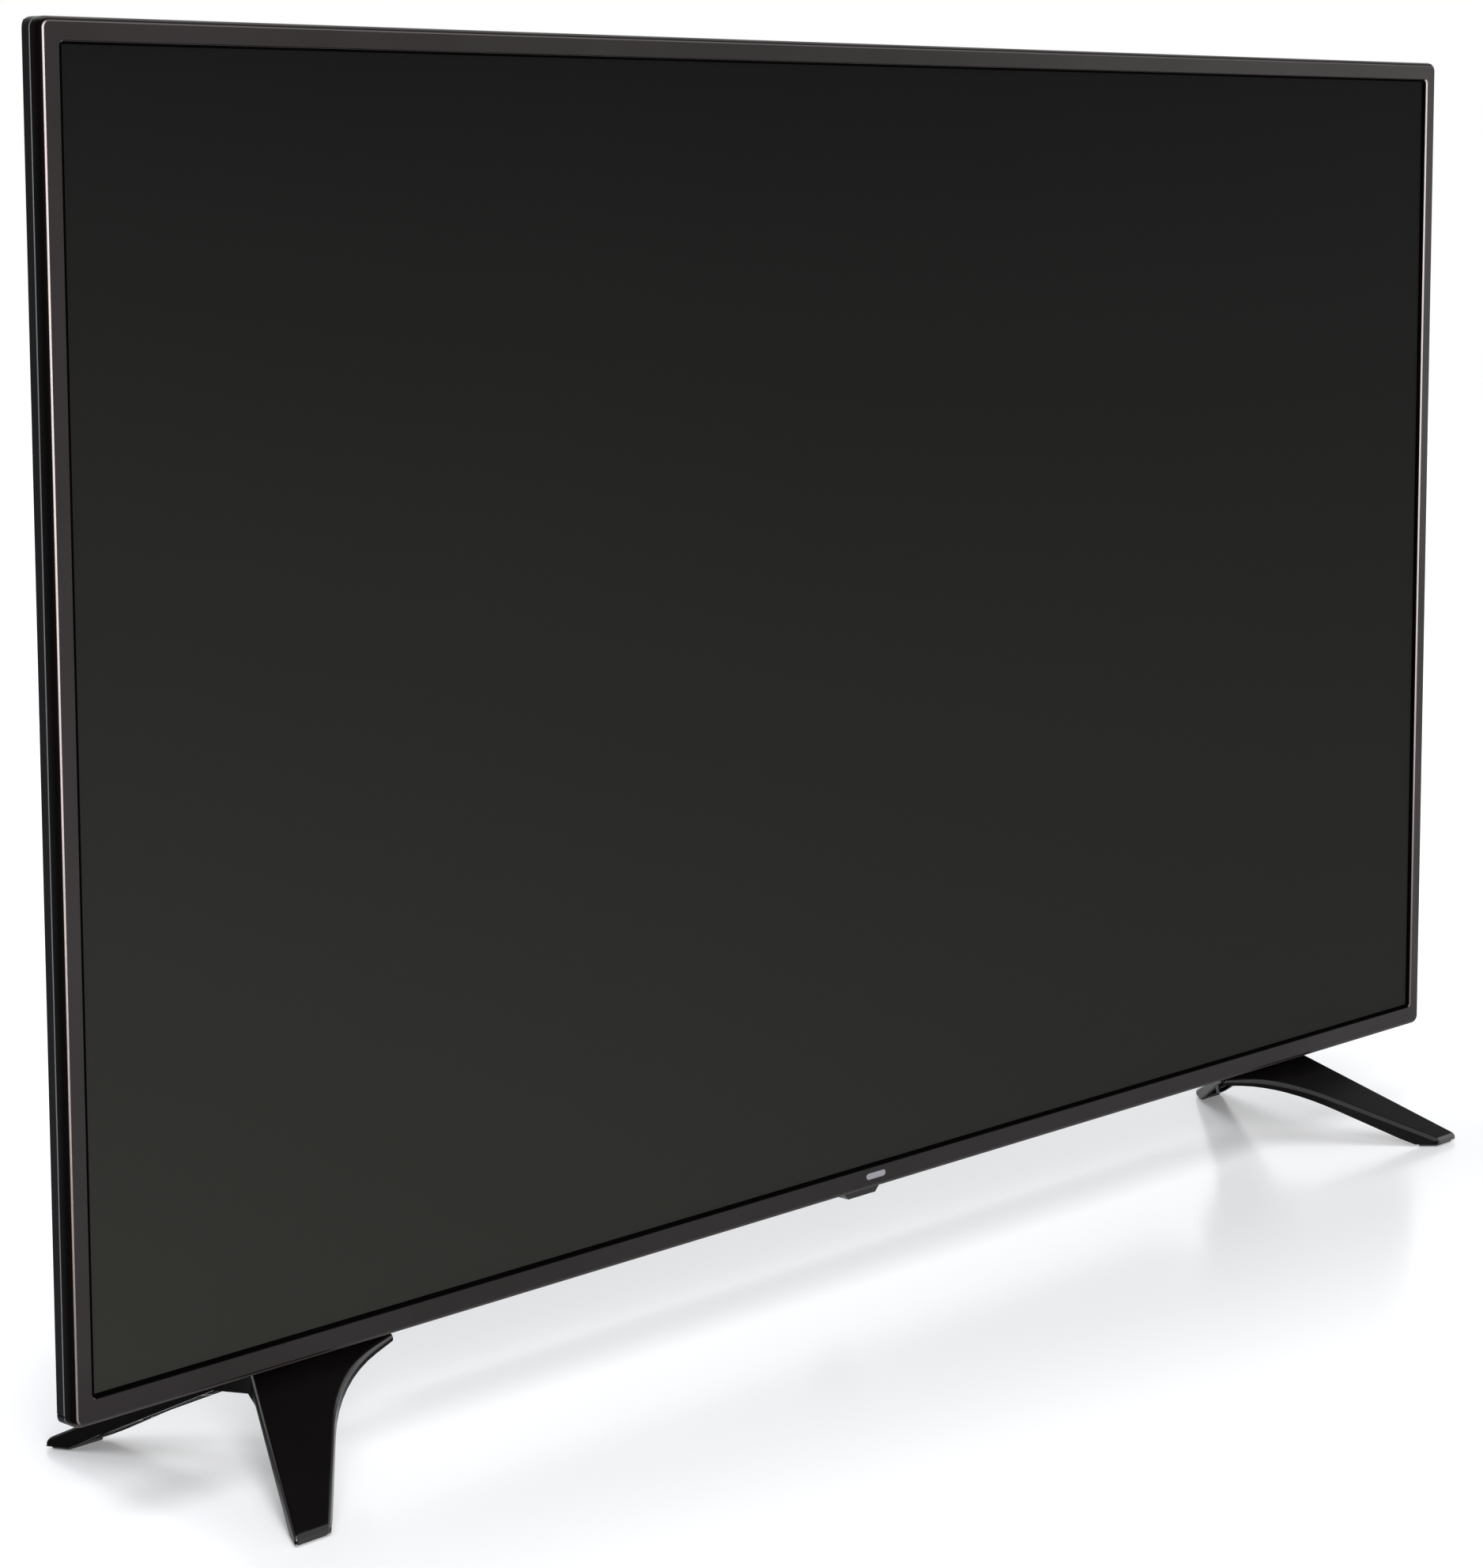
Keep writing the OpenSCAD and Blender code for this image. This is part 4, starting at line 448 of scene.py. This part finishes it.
# front bezel: satin face, pale chamfers that are a painted highlight, black sides that are painted shade
bezelShape = {
    "faceSide": 8.2, "faceTop": 8.4, "faceBottom": 10.1, "edge": 2.65,            # flat face and edge, mm
    "profile": [(0, 3.4), (0.4, 1.95), (1.1, 1.0), (2.05, 0.37), (2.65, 0)],      # edge: inset and depth, mm
    "corner": 5.5, "lip": 1.9, "wall": 2.0, "openingCorner": 2.5, "lipEdge": (0.45, 0.9), "seam": 0.3,
    "crease": 50,                                                                 # degrees
}
bezelFinish = {
    # the sides' near-black tone is painted shade; the lighter tone on faces turned down is a painted
    # reflection of the floor, and the lighter tone on the top's upper faces is a painted lighter top
    "tone": (0.0115, 0.0092, 0.0094), "shade": (0.0138, 0.0112, 0.0115), "side": (0.0010, 0.0008, 0.0007),
    # the pale chamfer tones are a painted highlight: strongest on the upright runs and the lip, fainter low
    # down, and darkest on the bottom run as painted shade
    "chamferLight": (0.34, 0.29, 0.275), "chamferLightLow": (0.12, 0.095, 0.085), "topChamferLight": (0.060, 0.052, 0.052),
    "lowChamferShade": (0.003, 0.0025, 0.0025), "lipHighlight": (0.55, 0.50, 0.49), "underside": (0.045, 0.037, 0.036),
    "topsideLight": (0.075, 0.070, 0.070), "rubbed": (0.030, 0.025, 0.025), "wear": 0.12,
    "middle": 0.35,                                # height above which a run counts as the top one, m
    "highlightRise": (0.06, 0.40),                      # heights between which the upright chamfers get paler, a painted highlight, m
    "polish": (0.02, 0.08), "turn": (0.38, 0.60),  # depths at which the chamfer starts and ends, mm
    "inward": (-0.05, -0.12), "lipFade": 1.1,      # turn of the opening's sides; end of their pale edge, a painted highlight
    "sideTurn": (0.15, 0.45), "trimTurn": (0.0, 0.1), "underTurn": (-0.25, -0.6), "overTurn": (0.55, 0.95),
    "rough": (0.34, 0.44), "specular": 0.015, "coatRough": 0.20, "coat": (0.30, 0.36), "trimCoat": 0.30,
    "coatLow": 0.72, "coatRise": (0.068, 0.10),    # less gloss on the lower run; heights where that ends, m
    "grain": 2600, "cloud": 14.0, "bump": 0.000010,
}


def openingBox(look):
    low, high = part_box("front_bezel")
    edge = look["edge"]
    return (low.x / mm + edge + look["faceSide"], low.z / mm + edge + look["faceBottom"],
            high.x / mm - edge - look["faceSide"], high.z / mm - edge - look["faceTop"])


def buildBezelFinish(look):
    material, tree, shader = newMaterial("bezel")
    field = useGroup(tree, "grain", Fine=float(look["grain"]), Coarse=look["cloud"])
    place = axesOf(tree, objectPlace(tree))
    facing = axesOf(tree, surfaceNormal(tree))
    sideways = mathNode(tree, "ABSOLUTE", facing["X"])
    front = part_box("front_bezel")[0].y
    face = ramp(tree, place["Y"], *(front + depth * mm for depth in look["turn"]), 1.0, 0.0)
    polish = ramp(tree, place["Y"], *(front + depth * mm for depth in look["polish"]))
    chamfer = mathNode(tree, "MULTIPLY", face, polish)
    rise = ramp(tree, place["Z"], *look["highlightRise"])
    inward = ramp(tree, mathNode(tree, "MULTIPLY", facing["X"], place["X"]), *look["inward"])
    lipDepth = bezelShape["lipEdge"][1] * mm
    shallow = ramp(tree, place["Y"], front + lipDepth, front + look["lipFade"] * lipDepth, 1.0, 0.0)
    lip = mathNode(tree, "MULTIPLY", inward, shallow)
    chamfer = mathNode(tree, "MAXIMUM", chamfer, lip)
    topRun = mathNode(tree, "GREATER_THAN", place["Z"], look["middle"])
    upper = mathNode(tree, "MULTIPLY", topRun, facing["Z"])
    # chamfer tone: painted highlight on the upright runs and the lip, growing upwards; greyer on the top run,
    # painted shade on the bottom run
    level = mixTone(tree, ramp(tree, upper, *look["trimTurn"]), look["lowChamferShade"], look["topChamferLight"])
    upright = mixTone(tree, rise, look["chamferLightLow"], mixTone(tree, lip, look["chamferLight"], look["lipHighlight"]))
    chamferLight = mixTone(tree, ramp(tree, sideways, *look["sideTurn"]), level, upright)
    # wall tones: painted shade on the sides, a painted reflection of the floor on faces turned down, a
    # painted lighter top
    side = mixTone(tree, ramp(tree, facing["Z"], *look["underTurn"]), look["side"], look["underside"])
    side = mixTone(tree, ramp(tree, upper, *look["overTurn"]), side, look["topsideLight"])
    colour = mixTone(tree, face, side, mixTone(tree, field["Cloud"], look["tone"], look["shade"]))
    rubbed = mathNode(tree, "MULTIPLY", useGroup(tree, "wear")["Mask"], look["wear"], True)
    colour = mixTone(tree, chamfer, mixTone(tree, rubbed, colour, look["rubbed"]), chamferLight)
    sheen = remap(tree, field["Cloud"], *look["coat"])
    satin = mathNode(tree, "MULTIPLY", sheen, mathNode(tree, "SUBTRACT", face, chamfer, True))
    satin = mathNode(tree, "MULTIPLY", satin, ramp(tree, place["Z"], *look["coatRise"], look["coatLow"], 1.0))
    coat = mathNode(tree, "ADD", satin, mathNode(tree, "MULTIPLY", chamfer, look["trimCoat"]))
    bump = bumpNode(tree, field["Grain"], look["bump"])
    feedShader(tree, shader, colour, remap(tree, field["Grain"], *look["rough"]), bump)
    tree.links.new(coat, shader.inputs["Coat Weight"])
    shader.inputs["Specular IOR Level"].default_value = look["specular"]
    shader.inputs["Coat Roughness"].default_value = look["coatRough"]
    materials["bezel"] = material


# switched-off screen: anti-glare coating over a dark panel, a little lighter and warmer downwards as a
# painted reflection
screenFinish = {
    "top": (0.0053, 0.0053, 0.0054), "bottom": (0.0200, 0.0200, 0.0180),
    "rough": (0.34, 0.40), "specular": 0.008, "sparkle": 5200, "cloud": 3.2, "bump": 0.000006,
    "pixelPitch": 0.00056, "waveUnit": 0.05,  # m; wave scale that turns one radian in each metre
    "uneven": 0.02,
    "reflectionFall": 0.74,                             # share of the painted reflection's change that the right end shows
    "border": (2.6, 1.0, 1.6),                # black border at sides, top and bottom, mm
    "borderTone": (0.0003, 0.0003, 0.0003),
}


def buildScreen(look):
    material, tree, shader = newMaterial("screen")
    field = useGroup(tree, "grain", Fine=float(look["sparkle"]), Coarse=look["cloud"])
    where = objectPlace(tree)
    place = axesOf(tree, where)
    low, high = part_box("lcd_panel")
    # painted reflection: lighter and warmer downwards, with less of it towards the right end
    down = ramp(tree, place["Z"], high.z, low.z, curve="LINEAR")
    share = ramp(tree, place["X"], low.x, high.x, 1.0, look["reflectionFall"], curve="LINEAR")
    waves = {"Vector": where, "Scale": look["waveUnit"] / look["pixelPitch"]}
    columns = addNode(tree, "ShaderNodeTexWave", waves, wave_type="BANDS", bands_direction="X")
    mottle = mathNode(tree, "ADD", field["Cloud"], columns.outputs[1])
    uneven = mathNode(tree, "MULTIPLY", mottle, look["uneven"])
    paintedReflection = mathNode(tree, "ADD", mathNode(tree, "MULTIPLY", down, share), uneven)
    colour = mixTone(tree, paintedReflection, look["top"], look["bottom"])
    opening = [value * mm for value in openingBox(bezelShape)]
    inside = []
    beside, above, below = (width * mm for width in look["border"])
    spans = (("X", opening[0] + beside, opening[2] - beside), ("Z", opening[1] + below, opening[3] - above))
    for axis, first, last in spans:
        off = mathNode(tree, "ABSOLUTE", mathNode(tree, "SUBTRACT", place[axis], (first + last) / 2))
        inside.append(mathNode(tree, "LESS_THAN", off, (last - first) / 2))
    colour = mixTone(tree, mathNode(tree, "MULTIPLY", *inside), look["borderTone"], colour)
    bump = bumpNode(tree, field["Grain"], look["bump"])
    feedShader(tree, shader, colour, remap(tree, field["Grain"], *look["rough"]), bump)
    shader.inputs["Specular IOR Level"].default_value = look["specular"]
    materials["screen"] = material


# circuit boards: solder mask with tracks and pads
boards = {
    "circuit_green": {"mask": (0.018, 0.11, 0.045), "track": (0.03, 0.16, 0.07), "pad": (0.55, 0.50, 0.40)},
    "circuit_blue": {"mask": (0.013, 0.075, 0.18), "track": (0.02, 0.11, 0.25), "pad": (0.58, 0.54, 0.44)},
    "circuit_tan": {"mask": (0.30, 0.18, 0.06), "track": (0.36, 0.24, 0.09), "pad": (0.60, 0.58, 0.54)},
}
boardPattern = {
    "tracks": 90.0, "trackWidth": 0.09, "trackRise": 0.5,
    "pads": 160.0, "padScatter": 0.8, "padSize": 0.16,
    "rough": (0.32, 0.2), "bump": 0.00004,  # roughness of mask and pads; depth in metres
}


def buildBoard(name, look):
    material, tree, shader = newMaterial(name)
    where = objectPlace(tree)
    upright = addNode(tree, "ShaderNodeMapping", {"Vector": where, "Rotation": (pi / 2, 0, 0)})
    tracks = addNode(tree, "ShaderNodeTexBrick", {
        "Vector": upright.outputs[0], "Scale": boardPattern["tracks"],
        "Mortar Size": boardPattern["trackWidth"],
        "Color1": (0, 0, 0, 1), "Color2": (0, 0, 0, 1), "Mortar": (1, 1, 1, 1)})
    dots = addNode(tree, "ShaderNodeTexVoronoi", {
        "Vector": where, "Scale": boardPattern["pads"], "Randomness": boardPattern["padScatter"]})
    pads = mathNode(tree, "LESS_THAN", dots.outputs["Distance"], boardPattern["padSize"])
    colour = mixTone(tree, pads, mixTone(tree, tracks.outputs[0], look["mask"], look["track"]), look["pad"])
    raised = mathNode(tree, "MULTIPLY", tracks.outputs[1], boardPattern["trackRise"])
    bump = bumpNode(tree, mathNode(tree, "ADD", raised, pads), boardPattern["bump"])
    feedShader(tree, shader, colour, remap(tree, pads, *boardPattern["rough"]), bump)
    materials[name] = material


for name, look in finishes.items():
    buildFinish(name, look)
for name, look in boards.items():
    buildBoard(name, look)
buildBezelFinish(bezelFinish)
buildScreen(screenFinish)
slotOf = {part["node"]: part["material_slot"] for part in frame["record"]["subparts"]}
for name, slot in slotOf.items():
    nodes[name].data.materials.clear()
    nodes[name].data.materials.append(materials[slot])
print("finishes built:", len(materials))

# mesh helpers
edgeWork = {
    "merge": 0.002 * mm,                     # corners closer than this become one
    "flat": 0.6, "angle": 28, "crease": 44,  # degrees: faces joined, edges rounded, edges kept sharp
    "weight": 50,
}


def addPiece(name, mesh, node, body="television"):
    piece = bpy.data.objects.new(name, mesh)
    scene.collection.objects.link(piece)
    mesh.materials.clear()
    mesh.materials.append(materials[slotOf[node]])
    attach(piece, body)
    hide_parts(node)
    return piece


def settle(piece):
    depsgraph = bpy.context.evaluated_depsgraph_get()
    worked = bpy.data.meshes.new_from_object(
        piece.evaluated_get(depsgraph), preserve_all_data_layers=True, depsgraph=depsgraph)
    raw = piece.data
    piece.modifiers.clear()
    piece.data = worked
    worked.name = piece.name
    bpy.data.meshes.remove(raw)


def smoothFaces(mesh):
    mesh.polygons.foreach_set("use_smooth", [True] * len(mesh.polygons))


def evenNormals(piece):
    modifier = piece.modifiers.new("evenNormals", "WEIGHTED_NORMAL")
    modifier.weight, modifier.keep_sharp = edgeWork["weight"], True


def addCutter(name, form):
    mesh = bpy.data.meshes.new(name)
    form.to_mesh(mesh)
    form.free()
    cutter = bpy.data.objects.new(name, mesh)
    scene.collection.objects.link(cutter)
    return cutter


def cutAway(piece, cutters):
    for cutter in cutters:
        cut = piece.modifiers.new("cut", "BOOLEAN")
        cut.object, cut.operation, cut.solver = cutter, "DIFFERENCE", "EXACT"


# a CAD node with its edges rounded over; weigh gives each edge its share of the width
def softenNode(node, name, width, steps=2, body="television", weigh=None, cutters=(),
               clamp=True, crease=edgeWork["crease"], merge=edgeWork["merge"]):
    mesh = bpy.data.meshes.new(name)
    form = bmesh.new()
    form.from_mesh(nodes[node].data)
    bmesh.ops.remove_doubles(form, verts=form.verts, dist=merge)
    bmesh.ops.dissolve_limit(form, angle_limit=radians(edgeWork["flat"]), verts=form.verts, edges=form.edges)
    if weigh:
        layer = form.edges.layers.float.new("bevel_weight_edge")
        for edge in form.edges:
            if len(edge.link_faces) == 2 and edge.calc_face_angle(0) > radians(edgeWork["angle"]):
                edge[layer] = weigh(edge)
    form.to_mesh(mesh)
    form.free()
    smoothFaces(mesh)
    piece = addPiece(name, mesh, node, body)
    cutAway(piece, cutters)
    if width:
        bevel = piece.modifiers.new("roundEdges", "BEVEL")
        bevel.width, bevel.segments = width, steps
        bevel.limit_method = "WEIGHT" if weigh else "ANGLE"
        bevel.angle_limit = radians(edgeWork["angle"])
        bevel.miter_outer, bevel.use_clamp_overlap = "MITER_ARC", clamp
    settle(piece)
    piece.data.set_sharp_from_angle(angle=radians(crease))
    evenNormals(piece)
    settle(piece)
    for cutter in cutters:
        bpy.data.objects.remove(cutter)
    return piece


def roundRect(box, radius, steps=8):
    lowX, lowZ, highX, highZ = box
    points = []
    for x, z, start in ((highX, highZ, 0), (lowX, highZ, 90), (lowX, lowZ, 180), (highX, lowZ, 270)):
        centreX = x - radius if x == highX else x + radius
        centreZ = z - radius if z == highZ else z + radius
        for step in range(steps + 1):
            angle = radians(start + 90 * step / steps)
            points.append((centreX + radius * cos(angle), centreZ + radius * sin(angle)))
    return points


def grown(box, by):
    return (box[0] - by, box[1] - by, box[2] + by, box[3] + by)


# the bezel's rings from its back edge over the face and round the lip: box, corner radius, depth
def bezelRings(look, outer, depth):
    corner, opening, seam = look["corner"], openingBox(look), look["seam"]
    rings = [(grown(outer, -seam), corner - seam, depth), (outer, corner, depth - seam)]
    rings += [(grown(outer, -inset), corner - inset, back) for inset, back in look["profile"]]
    crisp = range(len(rings) - 2, len(rings) + 2)  # borders of the chamfers
    (lipInset, lipDepth), lipCorner = look["lipEdge"], look["openingCorner"]
    rings += [(grown(opening, lipInset), lipCorner + lipInset, 0), (opening, lipCorner, lipDepth)]
    rings.append((opening, lipCorner, look["lip"]))
    inside, innerCorner = grown(outer, -look["wall"]), corner - look["wall"]
    rings += [(inside, innerCorner, look["lip"]), (inside, innerCorner, depth)]
    return rings, crisp


# front bezel: one profile carried round the opening
def buildBezel(look):
    low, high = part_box("front_bezel")
    outer = (low.x / mm, low.z / mm, high.x / mm, high.z / mm)
    front, depth = low.y / mm, (high.y - low.y) / mm
    rings, crisp = bezelRings(look, outer, depth)
    verts, faces = [], []
    for box, radius, back in rings:
        verts += [(x * mm, (front + back) * mm, z * mm) for x, z in roundRect(box, radius)]
    count = len(verts) // len(rings)
    for ring in range(len(rings)):
        start, after = ring * count, (ring + 1) % len(rings) * count
        for spot in range(count):
            side = (spot + 1) % count
            faces.append((start + spot, start + side, after + side, after + spot))
    mesh = bpy.data.meshes.new("bezelFrame")
    mesh.from_pydata(verts, [], faces)
    form = bmesh.new()
    form.from_mesh(mesh)
    bmesh.ops.recalc_face_normals(form, faces=form.faces)
    form.to_mesh(mesh)
    form.free()
    smoothFaces(mesh)
    mesh.set_sharp_from_angle(angle=radians(look["crease"]))
    for edge in mesh.edges:
        first, second = (vert // count for vert in edge.vertices)
        if first == second and first in crisp:
            edge.use_edge_sharp = True
    piece = addPiece("bezelFrame", mesh, "front_bezel")
    evenNormals(piece)
    settle(piece)


buildBezel(bezelShape)

# badge: a plain plate with rounded edges
badgeShape = {"edge": 0.12 * mm, "steps": 3}
softenNode("front_badge", "badgePlate", badgeShape["edge"], badgeShape["steps"])
print("bezel and badge built")

# feet: full fillets along the top and at the tips, small ones elsewhere
footShape = {
    "fillet": 2.4 * mm, "steps": 5,
    "tip": 1.0, "ridge": 0.5, "small": 0.16,                  # shares of the fillet
    "crowded": 1.2 * mm, "merge": 0.06 * mm, "pad": 0.3 * mm,
    "level": 0.7, "upright": 0.2,                             # upward turn of level and of upright faces
    "ridgeTop": 0.06, "filletTop": 0.0562, "tipReach": 0.09,  # heights, and distance from the middle, m
}


def footEdge(edge):
    if not edge.is_convex:
        return 0.0
    first, second = (face.normal.z for face in edge.link_faces)
    middle = (edge.verts[0].co + edge.verts[1].co) / 2
    level, upright = footShape["level"], footShape["upright"]
    if min(first, second) > level:
        return footShape["ridge"] if middle.z < footShape["ridgeTop"] else 0.0
    if max(first, second) > level and abs(min(first, second)) < upright and middle.z < footShape["filletTop"]:
        return 1.0
    if max(abs(first), abs(second)) < upright and abs(middle.y) > footShape["tipReach"]:
        return footShape["tip"]
    around = [other.calc_length() for vert in edge.verts for other in vert.link_edges]
    return footShape["small"] if min(around) > footShape["crowded"] else 0.0


for side in ("left", "right"):
    softenNode("foot_" + side, side + "Foot", footShape["fillet"], footShape["steps"],
               weigh=footEdge, clamp=False, merge=footShape["merge"])
softenNode("foot_pads", "footPads", footShape["pad"])
print("feet built")

# rear cover and the small outer pieces
coverShape = {
    "slit": 0.7 * mm, "slitLift": 5.4 * mm, "slitDepth": 1.0 * mm, "slitReach": 6.0 * mm,
    "crease": 25,                                                         # degrees
    "tab": 0.7 * mm, "cap": 0.3 * mm, "port": 0.15 * mm, "fineSteps": 3,  # rounded edges
}
socketNames = {
    "video_ports": "videoSockets", "data_port": "dataSocket", "lan_port": "networkSocket",
    "optical_port": "opticalSocket", "av_jack": "audioSocket", "aerial_sockets": "aerialSockets",
    "ac_inlet": "mainsInlet", "mount_bosses": "mountBosses",
}


def rimSlits(look):
    low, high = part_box("rear_cover")
    size = (2 * look["slitDepth"], 2 * look["slitReach"], look["slit"])
    form = bmesh.new()
    for x in (low.x, high.x):
        made = bmesh.ops.create_cube(form, size=1.0)
        bmesh.ops.scale(form, vec=size, verts=made["verts"])
        bmesh.ops.translate(form, vec=(x, low.y, low.z + look["slitLift"]), verts=made["verts"])
    return addCutter("rimSlits", form)


softenNode("rear_cover", "rearShell", 0, cutters=[rimSlits(coverShape)], crease=coverShape["crease"])
softenNode("control_tab", "controlTab", coverShape["tab"], coverShape["fineSteps"])
softenNode("inlet_plate", "inletPlate", coverShape["port"])
softenNode("joystick_cap", "joystickCap", coverShape["cap"], coverShape["fineSteps"], body="cap")
for node, name in socketNames.items():
    softenNode(node, name, coverShape["port"])
print("cover, tab and sockets built")

# screws with a cross recess
screwShape = {"length": 3.4 * mm, "width": 0.9 * mm, "depth": 1.3 * mm, "edge": 0.25 * mm}


# middle of the outer end of each screw in a node
def screwEnds(node, axis, end):
    form = bmesh.new()
    form.from_mesh(nodes[node].data)
    bmesh.ops.remove_doubles(form, verts=form.verts, dist=edgeWork["merge"])
    left, ends = set(form.verts), []
    while left:
        pile, island = [left.pop()], []
        while pile:
            vert = pile.pop()
            island.append(vert.co.copy())
            for edge in vert.link_edges:
                other = edge.other_vert(vert)
                if other in left:
                    left.remove(other)
                    pile.append(other)
        low = Vector([min(point[k] for point in island) for k in range(3)])
        high = Vector([max(point[k] for point in island) for k in range(3)])
        spot = (low + high) / 2
        spot[axis] = (high if end > 0 else low)[axis]
        ends.append(spot)
    form.free()
    return sorted(ends, key=tuple)


def crossCutter(spots, axis, look):
    form = bmesh.new()
    arm, half = look["length"] / 2, look["width"] / 2
    across = [k for k in range(3) if k != axis]
    outline = [(half, half), (half, arm), (-half, arm), (-half, half), (-arm, half), (-arm, -half),
               (-half, -half), (-half, -arm), (half, -arm), (half, -half), (arm, -half), (arm, half)]
    for spot in spots:
        rings = []
        for depth in (-look["depth"], look["depth"]):
            ring = []
            for first, second in outline:
                point = spot.copy()
                point[across[0]] += first
                point[across[1]] += second
                point[axis] += depth
                ring.append(form.verts.new(point))
            form.faces.new(ring)
            rings.append(ring)
        for spoke in range(len(outline)):
            after = (spoke + 1) % len(outline)
            form.faces.new((rings[0][spoke], rings[0][after], rings[1][after], rings[1][spoke]))
    bmesh.ops.recalc_face_normals(form, faces=form.faces)
    return addCutter("crossCutter", form)


def crossScrews(node, name, axis, end):
    cutter = crossCutter(screwEnds(node, axis, end), axis, screwShape)
    softenNode(node, name, screwShape["edge"], cutters=[cutter])


crossScrews("cover_screws", "coverScrews", 1, 1)   # along Y, heads at the back
crossScrews("stand_screws", "standScrews", 2, -1)  # along Z, heads below
print("screws built")
